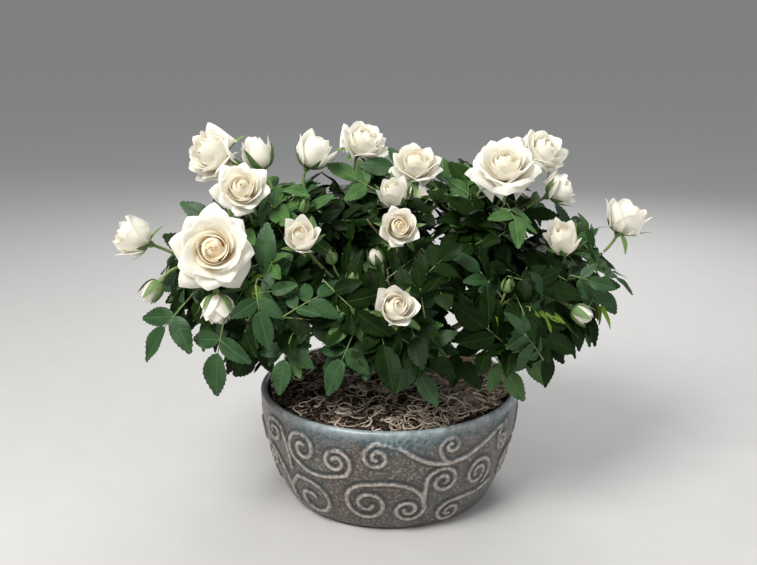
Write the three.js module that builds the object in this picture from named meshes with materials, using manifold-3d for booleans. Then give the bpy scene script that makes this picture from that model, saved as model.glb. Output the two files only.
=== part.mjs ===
// A white miniature rose bush in a round glazed bowl, in millimetres, +Z up, front towards -Y.
// The origin is the middle of the bowl's flat underside. The bowl holds potting soil under a mat of
// curled moss. One short crown stands on the soil, canes arch out of it, and each cane carries one
// mass of leafy shoots. Each rose sits on its own flower stalk, which goes on from a shoot's tip.

import * as THREE from "three";
import { mergeVertices } from "three/addons/utils/BufferGeometryUtils.js";
import Module from "manifold-3d";

const wasm = await Module();
wasm.setup();

// Clearance between two solids that touch on the real plant
const SEAT = 0.3;

// Bowl
const RIM_RADIUS = 102.5;
const BASE_RADIUS = 79;
const BOWL_HEIGHT = 88;
const BOWL_SWELL = 0.72;
const WALL = 6;
const FLOOR = 8;
const BASE_ROUND = 2.5;
// How far the lip is rounded, down and inwards, and how the inside wall curves into the floor
const LIP_DROP = 3;
const LIP_INSET = 1;
const FLOOR_ROUND = { rise: 6, inset: 8 };
const BOWL_STEPS = 5;
const INSIDE_STEPS = 3;
const BOWL_SIDES = 32;

// Scrolls raised on the bowl's wall, each a rib with a three-cornered section. They are drawn on the
// unrolled wall as [along, height], where along runs from the front to the right, measured on a wall
// of this radius. A scroll ends in eyes: spirals that wind in from an outer end.
const SCROLL_RADIUS = 100;
const RIB = { rise: 1.5, half: 2.6, sunk: 1.1 };
// How far the joined wall may be moved to spare its smallest faces
const RIB_FIT = 0.05;
const EYE_STEPS = 10;
// The size left at the end of an eye, how fast it winds in, and how many of its turns are solid
const EYE_LEFT = 0.2;
const EYE_WIND = 0.85;
const EYE_TURNS = 1.1;

// An eye: its middle, its reach along and up, where it starts in degrees, its turns, and 1 or -1 for
// the way it winds
function eye(middle, reach, start, turns, way) {
  return { middle, reach, start, turns, way };
}
// The scrolls of half the wall: the other half repeats them
const SCROLLS = [
  [
    eye([-68, 66], [14.5, 15], 225, 1.45, -1),
    [-66, 48],
    [-52, 46.5],
    eye([-40, 61.5], [12.5, 12.3], 300, 1.6, 1),
  ],
  [
    eye([-9.5, 68.5], [11.3, 11], 75, 1.5, 1),
    [5, 76.5],
    [14, 70.5],
    [23, 64.8],
    [45, 60.2],
    [72, 68],
    [98, 77],
  ],
  [eye([44, 74], [9, 8], 200, 1.3, -1), [38, 65], [43, 61]],
  [
    eye([-17.5, 28], [20, 18], 80, 1.7, 1),
    [-4, 46.8],
    [10, 44.6],
    [22, 37],
    eye([14, 22.5], [13.5, 11.5], 10, 1.55, -1),
  ],
  [[26.5, 26], [26.2, 38], eye([40, 45.5], [13.5, 12.5], 165, 1.6, -1)],
  [eye([72, 44.5], [14, 14], -50, 1.75, 1), [80, 33]],
  [eye([51.5, 14.5], [13.5, 10.5], 95, 1.5, 1), [64, 26], [78, 26.5], [92, 31]],
  [[-90, 12], [-93, 22], eye([-68, 21.5], [23, 18.5], 120, 1.25, -1)],
  [[-84, 44], [-84.5, 58], eye([-101, 69], [13, 11], 30, 1.5, 1)],
  [[-91, 20], [-95, 36], eye([-113, 43], [11.5, 12], 20, 1.5, 1)],
  [[104, 80], [93, 72], eye([98, 63], [6.5, 8.5], 170, 1.4, 1)],
  [[128, 52], [118, 50], eye([113, 37], [9, 11], 100, 1.5, 1)],
  [eye([150, 62], [15, 14], 230, 1.5, -1), [152, 46], eye([172, 56], [12, 11], 250, 1.5, 1)],
  [
    eye([148, 24], [15, 13.5], 80, 1.6, 1),
    [160, 39],
    [172, 33],
    eye([176, 20], [9, 9], 70, 1.4, -1),
  ],
];

// Filling
const SOIL_TOP = 72;
// How far the filling keeps from the bowl's inside, which runs straight between its own rings
const WALL_CLEAR = 1.2;
const SOIL_FOOT_RISE = 8;
const MOSS_EDGE = 82;
const MOSS_CLEAR = 1.5;
const MOSS_MIDDLE = 91;
const MOSS_LUMP = 1.6;
const MOSS_LUMPS = 7;
const MOSS_SIDES = 20;

// Crown and canes
const CROWN_RADIUS = 13;
const CROWN_FOOT_RADIUS = 17;
const CROWN_CENTRE = 94;
const CROWN_SIDES = 10;
const CANE_FOOT_RADIUS = 3;
const CANE_TIP_RADIUS = 2.2;
const CANE_SIDES = 5;
const CANE_STEPS = 5;
// How far a cane keeps its first direction and how high it arches, in spans of the whole curve
const CANE_START = 0.3;
const CANE_ARCH = 0.12;
// The part of the curve that can be the cane's end, and how far inside its mass's own space it is
const CANE_END = { least: 0.45, most: 0.8 };
const CANE_INSIDE = 5;

// Shoots, flower stalks and leaves
const STEM_TIP_RADIUS = 1.9;
const SHOOT_RADIUS = 1.15;
const SHOOT_TIP_RADIUS = 1.1;
const STALK_RADIUS = 1.05;
const SHORTEST_STALK = 16;
// Where on its stem a flowering shoot starts, how far both its ends run straight in spans of its
// curve, the least share of it that is shoot, and how far inside the mass's own space that stays
const FLOWER_START = 0.45;
const FLOWER_ENDS = { shoot: 0.3, stalk: 0.33 };
const SHORTEST_SHOOT = 0.12;
const SHOOT_INSIDE = 2.2;
// Leafy shoots: how many, how wide they fan, how far they reach in radii of the mass, how they arch,
// and which part of the stem they start from
const LEAFY_SHOOTS = 5;
const SHOOT_SPREAD = 1.4;
const SHOOT_REACH = 0.55;
const SHOOT_ARCH = 0.14;
const SHOOT_STARTS = { from: 0.3, over: 0.65 };
// The bare lower part of a leafy and of a flowering shoot, and where the flowering shoot's last leaf is
const BARE_SHOOT = 0.4;
const BARE_FLOWERING_SHOOT = 0.25;
const LAST_LEAF = 0.9;
const LEAF_SPACING = 18;
const RACHIS = 22;
const LEAF_STALK = 1.5;
const LEAF_ROOT = 0.5;
const LEAF_FOOT_CLEAR = 3;
const LEAFLET = { length: 36, width: 23, thickness: 1 };
const LEAFLET_BELLY = 0.42;
const LEAFLET_FOOT = 1.2;
const SIDE_LEAFLET = { along: 0.38, size: 0.86, turn: 1.02 };
const LEAF_DROOP = 0.4;
const LEAF_KEEL = 0.25;
const LEAF_CLEAR = 0.8;
const PLANE_CLEAR = 0.5;
const LEAF_FORWARD = 0.4;
const LEAF_LIES_FLAT = 0.6;
const LEAF_HANGS = 0.12;
const LEAF_TO_LIGHT = 0.6;
const LEAF_TRIES = 30;
const LEAVES_EACH = 9;
const LARGEST_LEAF = 1.1;
const SMALLEST_LEAF = 0.68;
const GOLDEN_ANGLE = Math.PI * (3 - Math.sqrt(5));

// The room the whole crown of leaves keeps to, and the clear space over the bowl
const CROWN_ROOM = { centre: [4, 0, 166], reach: [184, 140, 103] };
const OVER_BOWL = { radius: RIM_RADIUS + 6, height: BOWL_HEIGHT + 7 };
const LOWEST_LEAF = 78;
const HEART_OF_BUSH = new THREE.Vector3(0, 0, 135);

// Each mass: its name, its middle, its radius, and where its cane leaves the crown (azimuth and
// elevation in degrees, azimuth 0 to the right and 90 to the back)
const MASSES = [
  { name: "left", middle: [-132, -28, 176], radius: 54, azimuth: 195, elevation: 38 },
  { name: "front_left", middle: [-78, -82, 160], radius: 50, azimuth: 232, elevation: 36 },
  { name: "front", middle: [2, -84, 163], radius: 50, azimuth: 272, elevation: 38 },
  { name: "front_right", middle: [82, -74, 158], radius: 50, azimuth: 314, elevation: 36 },
  { name: "right", middle: [136, -8, 172], radius: 54, azimuth: 356, elevation: 38 },
  { name: "back_right", middle: [92, 78, 168], radius: 50, azimuth: 40, elevation: 36 },
  { name: "back", middle: [4, 90, 172], radius: 52, azimuth: 88, elevation: 38 },
  { name: "back_left", middle: [-88, 74, 170], radius: 50, azimuth: 140, elevation: 36 },
  { name: "top_left", middle: [-88, -8, 219], radius: 46, azimuth: 180, elevation: 68 },
  { name: "top_middle", middle: [-8, 6, 222], radius: 46, azimuth: 75, elevation: 74 },
  { name: "top_right", middle: [74, 0, 220], radius: 46, azimuth: 0, elevation: 68 },
];

// Each rose: its name, the mass whose shoot carries it, where its heart is, the way it faces, its
// width across, and how far it is open, from 0 for a bud to 1 for a full flat bloom
function rose(name, mass, heart, faces, width, open) {
  return { name, mass, heart, faces, width, open };
}
const ROSES = [
  rose("front_left_full", "front_left", [-118, -100, 219], [0.05, -0.92, 0.32], 59, 1),
  rose("far_left", "left", [-181, -70, 221], [-0.86, -0.25, 0.42], 33, 0.6),
  rose("top_left_open", "top_left", [-134, -20, 272], [-0.72, -0.62, 0.25], 48, 0.85),
  rose("top_left_goblet", "top_left", [-101, 4, 271], [-0.35, 0.05, 0.9], 27, 0.4),
  rose("upper_left", "front_left", [-105, -50, 252], [0.1, -0.85, 0.5], 42, 0.9),
  rose("top_goblet", "top_middle", [-56, 0, 273], [0.42, -0.1, 0.88], 32, 0.5),
  rose("top_side", "top_middle", [-19, 17, 279], [0.36, -0.4, 0.82], 42, 0.85),
  rose("top_open", "top_middle", [20, 2, 264], [0.02, -0.5, 0.84], 43, 0.9),
  rose("middle_small", "top_middle", [2, -36, 247], [-0.2, -0.55, 0.8], 24, 0.45),
  rose("middle_open", "front", [6, -76, 229], [0.02, -0.92, 0.36], 30, 0.75),
  rose("front_high", "front", [-60, -92, 226], [-0.08, -0.78, 0.6], 27, 0.55),
  rose("front_low", "front", [3, -126, 187], [0.16, -0.82, 0.55], 29, 0.6),
  rose("bud_middle", "front", [-11, -66, 206], [-0.28, -0.4, 0.9], 11, 0.12),
  rose("bud_front", "front", [17, -90, 199], [0.04, -0.25, 1], 9, 0),
  rose("top_right_full", "top_right", [84, -22, 266], [-0.16, -0.56, 0.8], 57, 1),
  rose("top_right_open", "top_right", [122, 26, 271], [0.42, -0.5, 0.74], 46, 0.9),
  rose("right_side", "top_right", [131, -2, 244], [0.78, -0.2, 0.5], 29, 0.65),
  rose("right_upper", "right", [125, -42, 215], [-0.22, -0.5, 0.84], 29, 0.5),
  rose("far_right", "right", [177, -20, 226], [0.38, -0.12, 0.9], 36, 0.68),
  rose("bud_left", "left", [-166, -80, 183], [-0.6, -0.25, -0.72], 14, 0.2),
  rose("nodding_left", "front_left", [-118, -95, 174], [0.05, -0.35, -0.94], 25, 0.5),
  rose("bud_right", "right", [139, -62, 161], [0.8, -0.3, -0.46], 14, 0.22),
  rose("back_left_open", "back_left", [-76, 96, 218], [-0.32, 0.72, 0.62], 44, 0.9),
  rose("back_full", "back", [18, 116, 214], [0.04, 0.84, 0.52], 50, 1),
  rose("back_right_goblet", "back_right", [96, 94, 214], [0.4, 0.68, 0.6], 33, 0.6),
  rose("left_back", "back_left", [-136, 64, 200], [-0.78, 0.4, 0.45], 30, 0.6),
  rose("back_low", "back", [-34, 132, 176], [-0.15, 0.95, 0.25], 29, 0.55),
  rose("right_back", "back_right", [146, 66, 186], [0.75, 0.5, 0.42], 36, 0.8),
];

// Rose profiles from the hip to the heart of the flower, as height and radius in flower widths,
// with the depth of the five-fold notches between petals and the petal row that they belong to
const BUD_PROFILE = [
  { height: 0.25, radius: 0.36, notch: 0, row: 0 },
  { height: 0.65, radius: 0.5, notch: 0.04, row: 0 },
  { height: 1.15, radius: 0.37, notch: 0.1, row: 0 },
  { height: 1.5, radius: 0.15, notch: 0.1, row: 1 },
  { height: 1.52, radius: 0.05, notch: 0, row: 1 },
];
const GOBLET_PROFILE = [
  { height: 0.06, radius: 0.24, notch: 0, row: 0 },
  { height: 0.3, radius: 0.44, notch: 0.04, row: 0 },
  { height: 0.68, radius: 0.5, notch: 0.24, row: 0 },
  { height: 0.8, radius: 0.33, notch: 0.12, row: 1 },
  { height: 0.72, radius: 0.17, notch: 0.05, row: 1 },
];
const FULL_PROFILE = [
  { height: 0.05, radius: 0.17, notch: 0, row: 0 },
  { height: 0.2, radius: 0.4, notch: 0.06, row: 0 },
  { height: 0.3, radius: 0.5, notch: 0.3, row: 0 },
  { height: 0.45, radius: 0.37, notch: 0.24, row: 1 },
  { height: 0.38, radius: 0.18, notch: 0.05, row: 1 },
];
// How far the heart stands above the last ring
const HEART_RISE = 0.1;
const ROSE_SIDES = 10;
const PETALS = 5;
const HIP_RADIUS = 2.6;
const HIP_LENGTH = 5;
// The share of a bloom's depth that lies behind its heart
const HEART_DEPTH = 0.55;
// How far a petal's tip rises over the notches beside it: most on a bud, and on a full bloom it falls
const TIP_RISE = { bud: 0.4, full: -0.08 };

const GLAZE = new THREE.MeshStandardMaterial({ color: 0x5f6b6a, roughness: 0.42, metalness: 0 });
const SOIL = new THREE.MeshStandardMaterial({ color: 0x2c2019, roughness: 0.95, metalness: 0 });
const MOSS = new THREE.MeshStandardMaterial({ color: 0x8d7a68, roughness: 0.95, metalness: 0 });
const BARK = new THREE.MeshStandardMaterial({ color: 0x5d5335, roughness: 0.8, metalness: 0 });
const LEAF = new THREE.MeshStandardMaterial({ color: 0x24472b, roughness: 0.45, metalness: 0 });
const PETAL = new THREE.MeshStandardMaterial({ color: 0xf3ecdd, roughness: 0.6, metalness: 0 });

// Small tools

function seeded(seed) {
  let state = seed;
  return () => {
    state = (state + 0x6d2b79f5) >>> 0;
    let mixed = Math.imul(state ^ (state >>> 15), state | 1);
    mixed = (mixed + Math.imul(mixed ^ (mixed >>> 7), mixed | 61)) ^ mixed;
    return ((mixed ^ (mixed >>> 14)) >>> 0) / 4294967296;
  };
}

function mix(a, b, share) {
  return a + (b - a) * share;
}

function vector(numbers) {
  return new THREE.Vector3(...numbers);
}

// A closed three.js geometry as a solid that can be joined and cut.
function solidOf(geometry) {
  const bare = geometry.clone();
  bare.deleteAttribute("normal");
  bare.deleteAttribute("uv");
  const merged = mergeVertices(bare, 1e-3);
  return new wasm.Manifold(
    new wasm.Mesh({
      numProp: 3,
      vertProperties: new Float32Array(merged.attributes.position.array),
      triVerts: new Uint32Array(merged.index.array),
    }),
  );
}

function geometryOf(solid) {
  const mesh = solid.getMesh();
  const geometry = new THREE.BufferGeometry();
  geometry.setAttribute("position", new THREE.BufferAttribute(mesh.vertProperties, 3));
  geometry.setIndex(new THREE.BufferAttribute(mesh.triVerts, 1));
  geometry.computeVertexNormals();
  return geometry;
}

function joined(solids) {
  return solids.reduce((whole, solid) => whole.add(solid));
}

// The largest body of a solid: a loose scrap is dropped.
function largestBody(solid) {
  return solid.decompose().reduce((best, body) => (body.volume() > best.volume() ? body : best));
}

// A profile of [radius, height] points turned about the upright axis.
function turned(profile, sides) {
  const points = profile.map(([radius, height]) => new THREE.Vector2(radius, height));
  return new THREE.LatheGeometry(points, sides).rotateX(Math.PI / 2);
}

// A tapering limb with flat ends along part of a curve.
function limb(curve, from, to, startRadius, endRadius, sides, steps) {
  const geometry = new THREE.CylinderGeometry(1, 1, 1, sides, steps);
  const position = geometry.attributes.position;
  for (let i = 0; i < position.count; i++) {
    const share = position.getY(i) + 0.5;
    const radius = mix(startRadius, endRadius, share);
    const frame = frameAt(curve, mix(from, to, share));
    const point = frame.point
      .addScaledVector(frame.across, position.getX(i) * radius)
      .addScaledVector(frame.over, position.getZ(i) * radius);
    position.setXYZ(i, point.x, point.y, point.z);
  }
  return geometry;
}

// A point of a curve, with two directions square to the curve that turn evenly along it.
function frameAt(curve, share) {
  const point = curve.getPointAt(share);
  const along = curve.getTangentAt(share);
  const across = new THREE.Vector3(1, 0, 0).cross(along);
  if (across.lengthSq() < 0.05) across.set(0, 1, 0).cross(along);
  across.normalize();
  const over = across.clone().cross(along);
  return { point, along, across, over };
}

// Bowl, soil and moss

function bowlRadius(height) {
  const rise = Math.sin((Math.PI / 2) * (height / BOWL_HEIGHT));
  return BASE_RADIUS + (RIM_RADIUS - BASE_RADIUS) * rise ** BOWL_SWELL;
}

function bowlGeometry() {
  const outside = [];
  for (let i = 0; i <= BOWL_STEPS; i++) {
    const height = mix(BASE_ROUND, BOWL_HEIGHT - LIP_DROP, i / BOWL_STEPS);
    outside.push([bowlRadius(height), height]);
  }
  const lip = [
    [RIM_RADIUS - LIP_INSET, BOWL_HEIGHT],
    [RIM_RADIUS - WALL + LIP_INSET, BOWL_HEIGHT],
  ];
  const inside = [];
  for (let i = 0; i <= INSIDE_STEPS; i++) {
    const height = mix(BOWL_HEIGHT - LIP_DROP, FLOOR + FLOOR_ROUND.rise, i / INSIDE_STEPS);
    inside.push([bowlRadius(height) - WALL, height]);
  }
  const floor = [
    [BASE_RADIUS - WALL - FLOOR_ROUND.inset, FLOOR],
    [0, FLOOR],
  ];
  const underside = [
    [0, 0],
    [BASE_RADIUS - BASE_ROUND, 0],
  ];
  const plain = turned([...underside, ...outside, ...lip, ...inside, ...floor], BOWL_SIDES);
  const ribs = SCROLLS.map((parts) => ribGeometry(scrollLine(parts)));
  const acrossTheBowl = ribs.map((rib) => rib.clone().rotateZ(Math.PI));
  const whole = joined([plain, ...ribs, ...acrossTheBowl].map(solidOf));
  return geometryOf(whole.asOriginal().simplify(RIB_FIT));
}

// The points of an eye on the unrolled wall, from its outer end inwards.
function eyePoints({ middle, reach, start, turns, way }) {
  const solidTurns = Math.min(turns, EYE_TURNS);
  const points = [];
  for (let i = 0; i <= solidTurns * EYE_STEPS; i++) {
    const turn = THREE.MathUtils.degToRad(start) + (way * 2 * Math.PI * i) / EYE_STEPS;
    const size = 1 - (1 - EYE_LEFT) * (i / EYE_STEPS / turns) ** EYE_WIND;
    const along = middle[0] + reach[0] * size * Math.cos(turn);
    const height = middle[1] + reach[1] * size * Math.sin(turn);
    points.push([along, height]);
  }
  return points;
}

// The whole line of a scroll: an eye that comes first is run from its inside out.
function scrollLine(parts) {
  return parts.flatMap((part, i) => {
    if (Array.isArray(part)) return [part];
    return i === 0 ? eyePoints(part).reverse() : eyePoints(part);
  });
}

// A rib along a line on the unrolled wall, sunk a little into the bowl.
function ribGeometry(line) {
  const spots = line.map(([along, height]) => {
    const turn = along / SCROLL_RADIUS;
    const radius = bowlRadius(height);
    const lean = bowlRadius(height + 0.5) - bowlRadius(height - 0.5);
    return {
      point: new THREE.Vector3(radius * Math.sin(turn), -radius * Math.cos(turn), height),
      out: new THREE.Vector3(Math.sin(turn), -Math.cos(turn), -lean).normalize(),
    };
  });
  const last = spots.length - 1;
  const geometry = new THREE.CylinderGeometry(1, 1, 1, 3, last);
  const position = geometry.attributes.position;
  for (let i = 0; i < position.count; i++) {
    const ring = Math.round((position.getY(i) + 0.5) * last);
    const { point, out } = spots[ring];
    const before = spots[Math.max(ring - 1, 0)].point;
    const after = spots[Math.min(ring + 1, last)].point;
    const aside = after.clone().sub(before).cross(out).normalize();
    const lift = position.getZ(i) > 0 ? position.getZ(i) * RIB.rise : position.getZ(i) * 2 * RIB.sunk;
    const spot = point
      .clone()
      .addScaledVector(out, lift)
      .addScaledVector(aside, (position.getX(i) / Math.sin(Math.PI / 3)) * RIB.half);
    position.setXYZ(i, spot.x, spot.y, spot.z);
  }
  return geometry;
}

function soilGeometry() {
  const wall = [];
  for (const height of [FLOOR + SOIL_FOOT_RISE, SOIL_TOP]) {
    wall.push([bowlRadius(height) - WALL - WALL_CLEAR, height]);
  }
  const foot = [
    [0, FLOOR + SEAT],
    [BASE_RADIUS - WALL - FLOOR_ROUND.inset - 1, FLOOR + SEAT],
  ];
  return turned([...foot, ...wall, [0, SOIL_TOP]], BOWL_SIDES);
}

// A lumpy mat that lies on the soil round the crown, which stands in its middle hole.
function mossGeometry() {
  const hole = CROWN_FOOT_RADIUS + MOSS_CLEAR;
  const edge = bowlRadius(MOSS_EDGE) - WALL - WALL_CLEAR;
  const under = SOIL_TOP + SEAT;
  const bottomEdge = bowlRadius(under) - WALL - WALL_CLEAR;
  const profile = [
    [hole, under],
    [bottomEdge, under],
    [edge, MOSS_EDGE - 2],
    [edge - 5, MOSS_EDGE + 1],
    [mix(edge, hole, 0.4), mix(MOSS_EDGE, MOSS_MIDDLE, 0.6)],
    [mix(edge, hole, 0.75), MOSS_MIDDLE],
    [hole, MOSS_MIDDLE - 2],
    [hole, under],
  ];
  const geometry = turned(profile, MOSS_SIDES);
  const position = geometry.attributes.position;
  for (let i = 0; i < position.count; i++) {
    const [x, y, z] = [position.getX(i), position.getY(i), position.getZ(i)];
    const turn = Math.atan2(y, x);
    const lump = Math.sin(MOSS_LUMPS * turn + z) * Math.cos(3 * turn + Math.hypot(x, y) / 9);
    if (z > MOSS_EDGE) position.setZ(i, z + MOSS_LUMP * lump);
  }
  return geometry;
}

// Crown and canes

function crownGeometry() {
  const foot = SOIL_TOP + SEAT;
  const profile = [
    [0, foot],
    [CROWN_FOOT_RADIUS, foot],
    [CROWN_FOOT_RADIUS - 2, foot + 8],
  ];
  for (let i = 0; i <= 4; i++) {
    const lift = mix(-0.15, 1, i / 4) * (Math.PI / 2);
    profile.push([CROWN_RADIUS * Math.cos(lift), CROWN_CENTRE + CROWN_RADIUS * Math.sin(lift)]);
  }
  profile[profile.length - 1][0] = 0;
  return turned(profile, CROWN_SIDES);
}

// One curve from the crown to the middle of a mass: the cane is its first part, the stem the rest.
function caneCurve(mass) {
  const azimuth = THREE.MathUtils.degToRad(mass.azimuth);
  const elevation = THREE.MathUtils.degToRad(mass.elevation);
  const out = new THREE.Vector3(
    Math.cos(azimuth) * Math.cos(elevation),
    Math.sin(azimuth) * Math.cos(elevation),
    Math.sin(elevation),
  );
  const start = out.clone().multiplyScalar(CROWN_RADIUS + SEAT);
  start.z += CROWN_CENTRE;
  const end = vector(mass.middle);
  const span = start.distanceTo(end);
  const first = start.clone().addScaledVector(out, span * CANE_START);
  const second = end.clone().lerp(start, 0.4).add(new THREE.Vector3(0, 0, span * CANE_ARCH));
  return new THREE.CubicBezierCurve3(start, first, second, end);
}

// How far a point lies inside a mass's own space: half-way planes part it from every other mass.
function roomInside(mass, point) {
  const own = point.distanceToSquared(vector(mass.middle));
  let room = Infinity;
  for (const other of MASSES) {
    if (other === mass) continue;
    const apart = vector(mass.middle).distanceTo(vector(other.middle));
    const further = point.distanceToSquared(vector(other.middle)) - own;
    room = Math.min(room, further / (2 * apart));
  }
  return room;
}

// Where a mass's cane ends: the first place well inside the mass's own space.
function caneEnd(mass) {
  const curve = caneCurve(mass);
  let share = CANE_END.least;
  while (share < CANE_END.most && roomInside(mass, curve.getPointAt(share)) < CANE_INSIDE) {
    share += 0.01;
  }
  return share;
}

// Roses

function profileAt(open, ring) {
  const [low, high] = open < 0.5 ? [BUD_PROFILE, GOBLET_PROFILE] : [GOBLET_PROFILE, FULL_PROFILE];
  const share = open < 0.5 ? open * 2 : open * 2 - 1;
  const value = (name) => mix(low[ring][name], high[ring][name], share);
  return { height: value("height"), radius: value("radius"), notch: value("notch"), row: low[ring].row };
}

function roseDepth(bloom) {
  return bloom.width * profileAt(bloom.open, 3).height;
}

// The place where a bloom's hip sits on its stalk.
function hipOf(bloom) {
  const facing = vector(bloom.faces).normalize();
  return vector(bloom.heart).addScaledVector(facing, -roseDepth(bloom) * HEART_DEPTH - HIP_LENGTH);
}

// The head of a bloom: a turned form with rows of petals whose tips and notches are drawn out.
function roseHead(bloom) {
  const facing = vector(bloom.faces).normalize();
  const rings = BUD_PROFILE.map((_, ring) => profileAt(bloom.open, ring));
  const profile = [
    [0, 0],
    [HIP_RADIUS, HIP_LENGTH * 0.6],
  ];
  for (const ring of rings) {
    profile.push([ring.radius * bloom.width, HIP_LENGTH + ring.height * bloom.width]);
  }
  profile.push([0, HIP_LENGTH + (rings.at(-1).height + HEART_RISE) * bloom.width]);
  const geometry = turned(profile, ROSE_SIDES);
  const position = geometry.attributes.position;
  const upright = new THREE.Quaternion().setFromUnitVectors(new THREE.Vector3(0, 0, 1), facing);
  const hip = hipOf(bloom);
  for (let i = 0; i < position.count; i++) {
    const point = new THREE.Vector3().fromBufferAttribute(position, i);
    const ring = rings.find((r) => Math.abs(HIP_LENGTH + r.height * bloom.width - point.z) < 1e-3);
    const radius = Math.hypot(point.x, point.y);
    if (ring && radius > 0.1 && Math.abs(radius - ring.radius * bloom.width) < 1e-2) {
      const turn = Math.atan2(point.y, point.x);
      const wave = 0.5 - 0.5 * Math.cos(PETALS * turn + ring.row * Math.PI);
      point.x *= 1 - ring.notch * wave;
      point.y *= 1 - ring.notch * wave;
      point.z += ring.notch * bloom.width * (1 - wave) * mix(TIP_RISE.bud, TIP_RISE.full, bloom.open);
    }
    point.applyQuaternion(upright).add(hip);
    position.setXYZ(i, point.x, point.y, point.z);
  }
  return geometry;
}

// One curve from a mass's stem to a bloom's hip: the shoot is its first part, the flower stalk the
// rest. They part where the curve leaves the mass's own space, or a short stalk below the hip.
function flowerCurve(mass, bloom) {
  const facing = vector(bloom.faces).normalize();
  const stem = caneCurve(mass);
  const hip = hipOf(bloom);
  const end = hip.clone().addScaledVector(facing, 1);
  const start = stem.getPointAt(mix(caneEnd(mass), 1, FLOWER_START));
  const span = start.distanceTo(end);
  const first = start.clone().lerp(end, FLOWER_ENDS.shoot);
  const second = hip.clone().addScaledVector(facing, -span * FLOWER_ENDS.stalk);
  const curve = new THREE.CubicBezierCurve3(start, first, second, end);
  const last = 1 - SHORTEST_STALK / curve.getLength();
  let share = SHORTEST_SHOOT;
  while (share < last && roomInside(mass, curve.getPointAt(share + 0.02)) > SHOOT_INSIDE) {
    share += 0.02;
  }
  return { curve, share };
}

function roseGeometry(bloom) {
  const mass = MASSES.find((m) => m.name === bloom.mass);
  const { curve, share } = flowerCurve(mass, bloom);
  const start = share + SEAT / curve.getLength();
  const stalk = limb(curve, start, 1, STALK_RADIUS, STALK_RADIUS * 1.15, 3, 3);
  return geometryOf(largestBody(joined([stalk, roseHead(bloom)].map(solidOf))));
}

// Leafy masses

// Whether a piece stays in its mass's own space, in the crown's room and clear over the bowl.
function keepsItsPlace(mass, geometry) {
  const centre = vector(CROWN_ROOM.centre);
  const reach = vector(CROWN_ROOM.reach);
  const position = geometry.attributes.position;
  for (let i = 0; i < position.count; i++) {
    const point = new THREE.Vector3().fromBufferAttribute(position, i);
    if (roomInside(mass, point) < PLANE_CLEAR) return false;
    if (point.clone().sub(centre).divide(reach).lengthSq() > 1) return false;
    if (point.z < LOWEST_LEAF) return false;
    if (Math.hypot(point.x, point.y) < OVER_BOWL.radius && point.z < OVER_BOWL.height) return false;
  }
  return true;
}

function touches(geometry, obstacles) {
  return !solidOf(geometry).intersect(obstacles).isEmpty();
}

// The outline of a leaf of three pointed leaflets that lies along +X from its foot, all of it
// `margin` wider than life.
function leafOutline(size, margin) {
  const stalk = LEAF_STALK / 2 + margin;
  const half = [margin > 0 ? [LEAF_FOOT_CLEAR, stalk] : [0, LEAF_ROOT / 2]];
  const leaflet = (base, scale, turn, corners) => {
    const long = LEAFLET.length * scale * size + margin;
    const wide = LEAFLET.width * scale * size + 2 * margin;
    half.push([base - LEAFLET_FOOT, stalk]);
    for (const [along, across] of corners) {
      const x = base + along * long * Math.cos(turn) - (across * wide * Math.sin(turn)) / 2;
      const y = along * long * Math.sin(turn) + (across * wide * Math.cos(turn)) / 2;
      half.push([x, y]);
    }
  };
  const pairFoot = SIDE_LEAFLET.along * RACHIS * size;
  const [outerBelly, tip, innerBelly] = [[LEAFLET_BELLY, 1], [1, 0], [LEAFLET_BELLY, -1]];
  leaflet(pairFoot, SIDE_LEAFLET.size, SIDE_LEAFLET.turn, [outerBelly, tip, innerBelly]);
  half.push([pairFoot + LEAFLET_FOOT, stalk]);
  leaflet(RACHIS * size, 1, 0, [outerBelly, tip]);
  const upper = half.slice(0, -1).reverse();
  const lower = half.map(([x, y]) => [x, -y]);
  return new THREE.Shape([...lower, ...upper].map(([x, y]) => new THREE.Vector2(x, y)));
}

// One leaf of three leaflets, rooted at `origin`: its outline made thick, drooping and keeled.
function leafGeometry({ origin, way, face, size }, margin) {
  const depth = LEAFLET.thickness + 2 * margin;
  const outline = leafOutline(size, margin);
  const geometry = new THREE.ExtrudeGeometry(outline, { depth, bevelEnabled: false });
  const side = new THREE.Vector3().crossVectors(face, way).normalize();
  const position = geometry.attributes.position;
  for (let i = 0; i < position.count; i++) {
    const [x, y] = [position.getX(i), position.getY(i)];
    const sag = (LEAF_DROOP * x * x) / (RACHIS + LEAFLET.length) + LEAF_KEEL * Math.abs(y);
    const point = origin
      .clone()
      .addScaledVector(way, x)
      .addScaledVector(side, y)
      .addScaledVector(face, position.getZ(i) - depth / 2 - sag);
    position.setXYZ(i, point.x, point.y, point.z);
  }
  return geometry;
}

// How a leaf lies at a turn about its shoot: mostly along the outside of the bush, drooping, with
// its upper face turned out of the bush and to the light.
function leafPose(curve, share, turn, size, lean) {
  const { point, along, across, over } = frameAt(curve, share);
  const outward = point.clone().sub(HEART_OF_BUSH).normalize();
  const way = across.multiplyScalar(Math.cos(turn)).addScaledVector(over, Math.sin(turn));
  way.addScaledVector(along, LEAF_FORWARD);
  way.addScaledVector(outward, -LEAF_LIES_FLAT * way.dot(outward));
  way.z -= LEAF_HANGS;
  way.normalize();
  const face = outward.addScaledVector(new THREE.Vector3(0, 0, 1), LEAF_TO_LIGHT).add(lean);
  face.addScaledVector(way, -face.dot(way)).normalize();
  return { origin: point, way, face, size };
}

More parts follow.
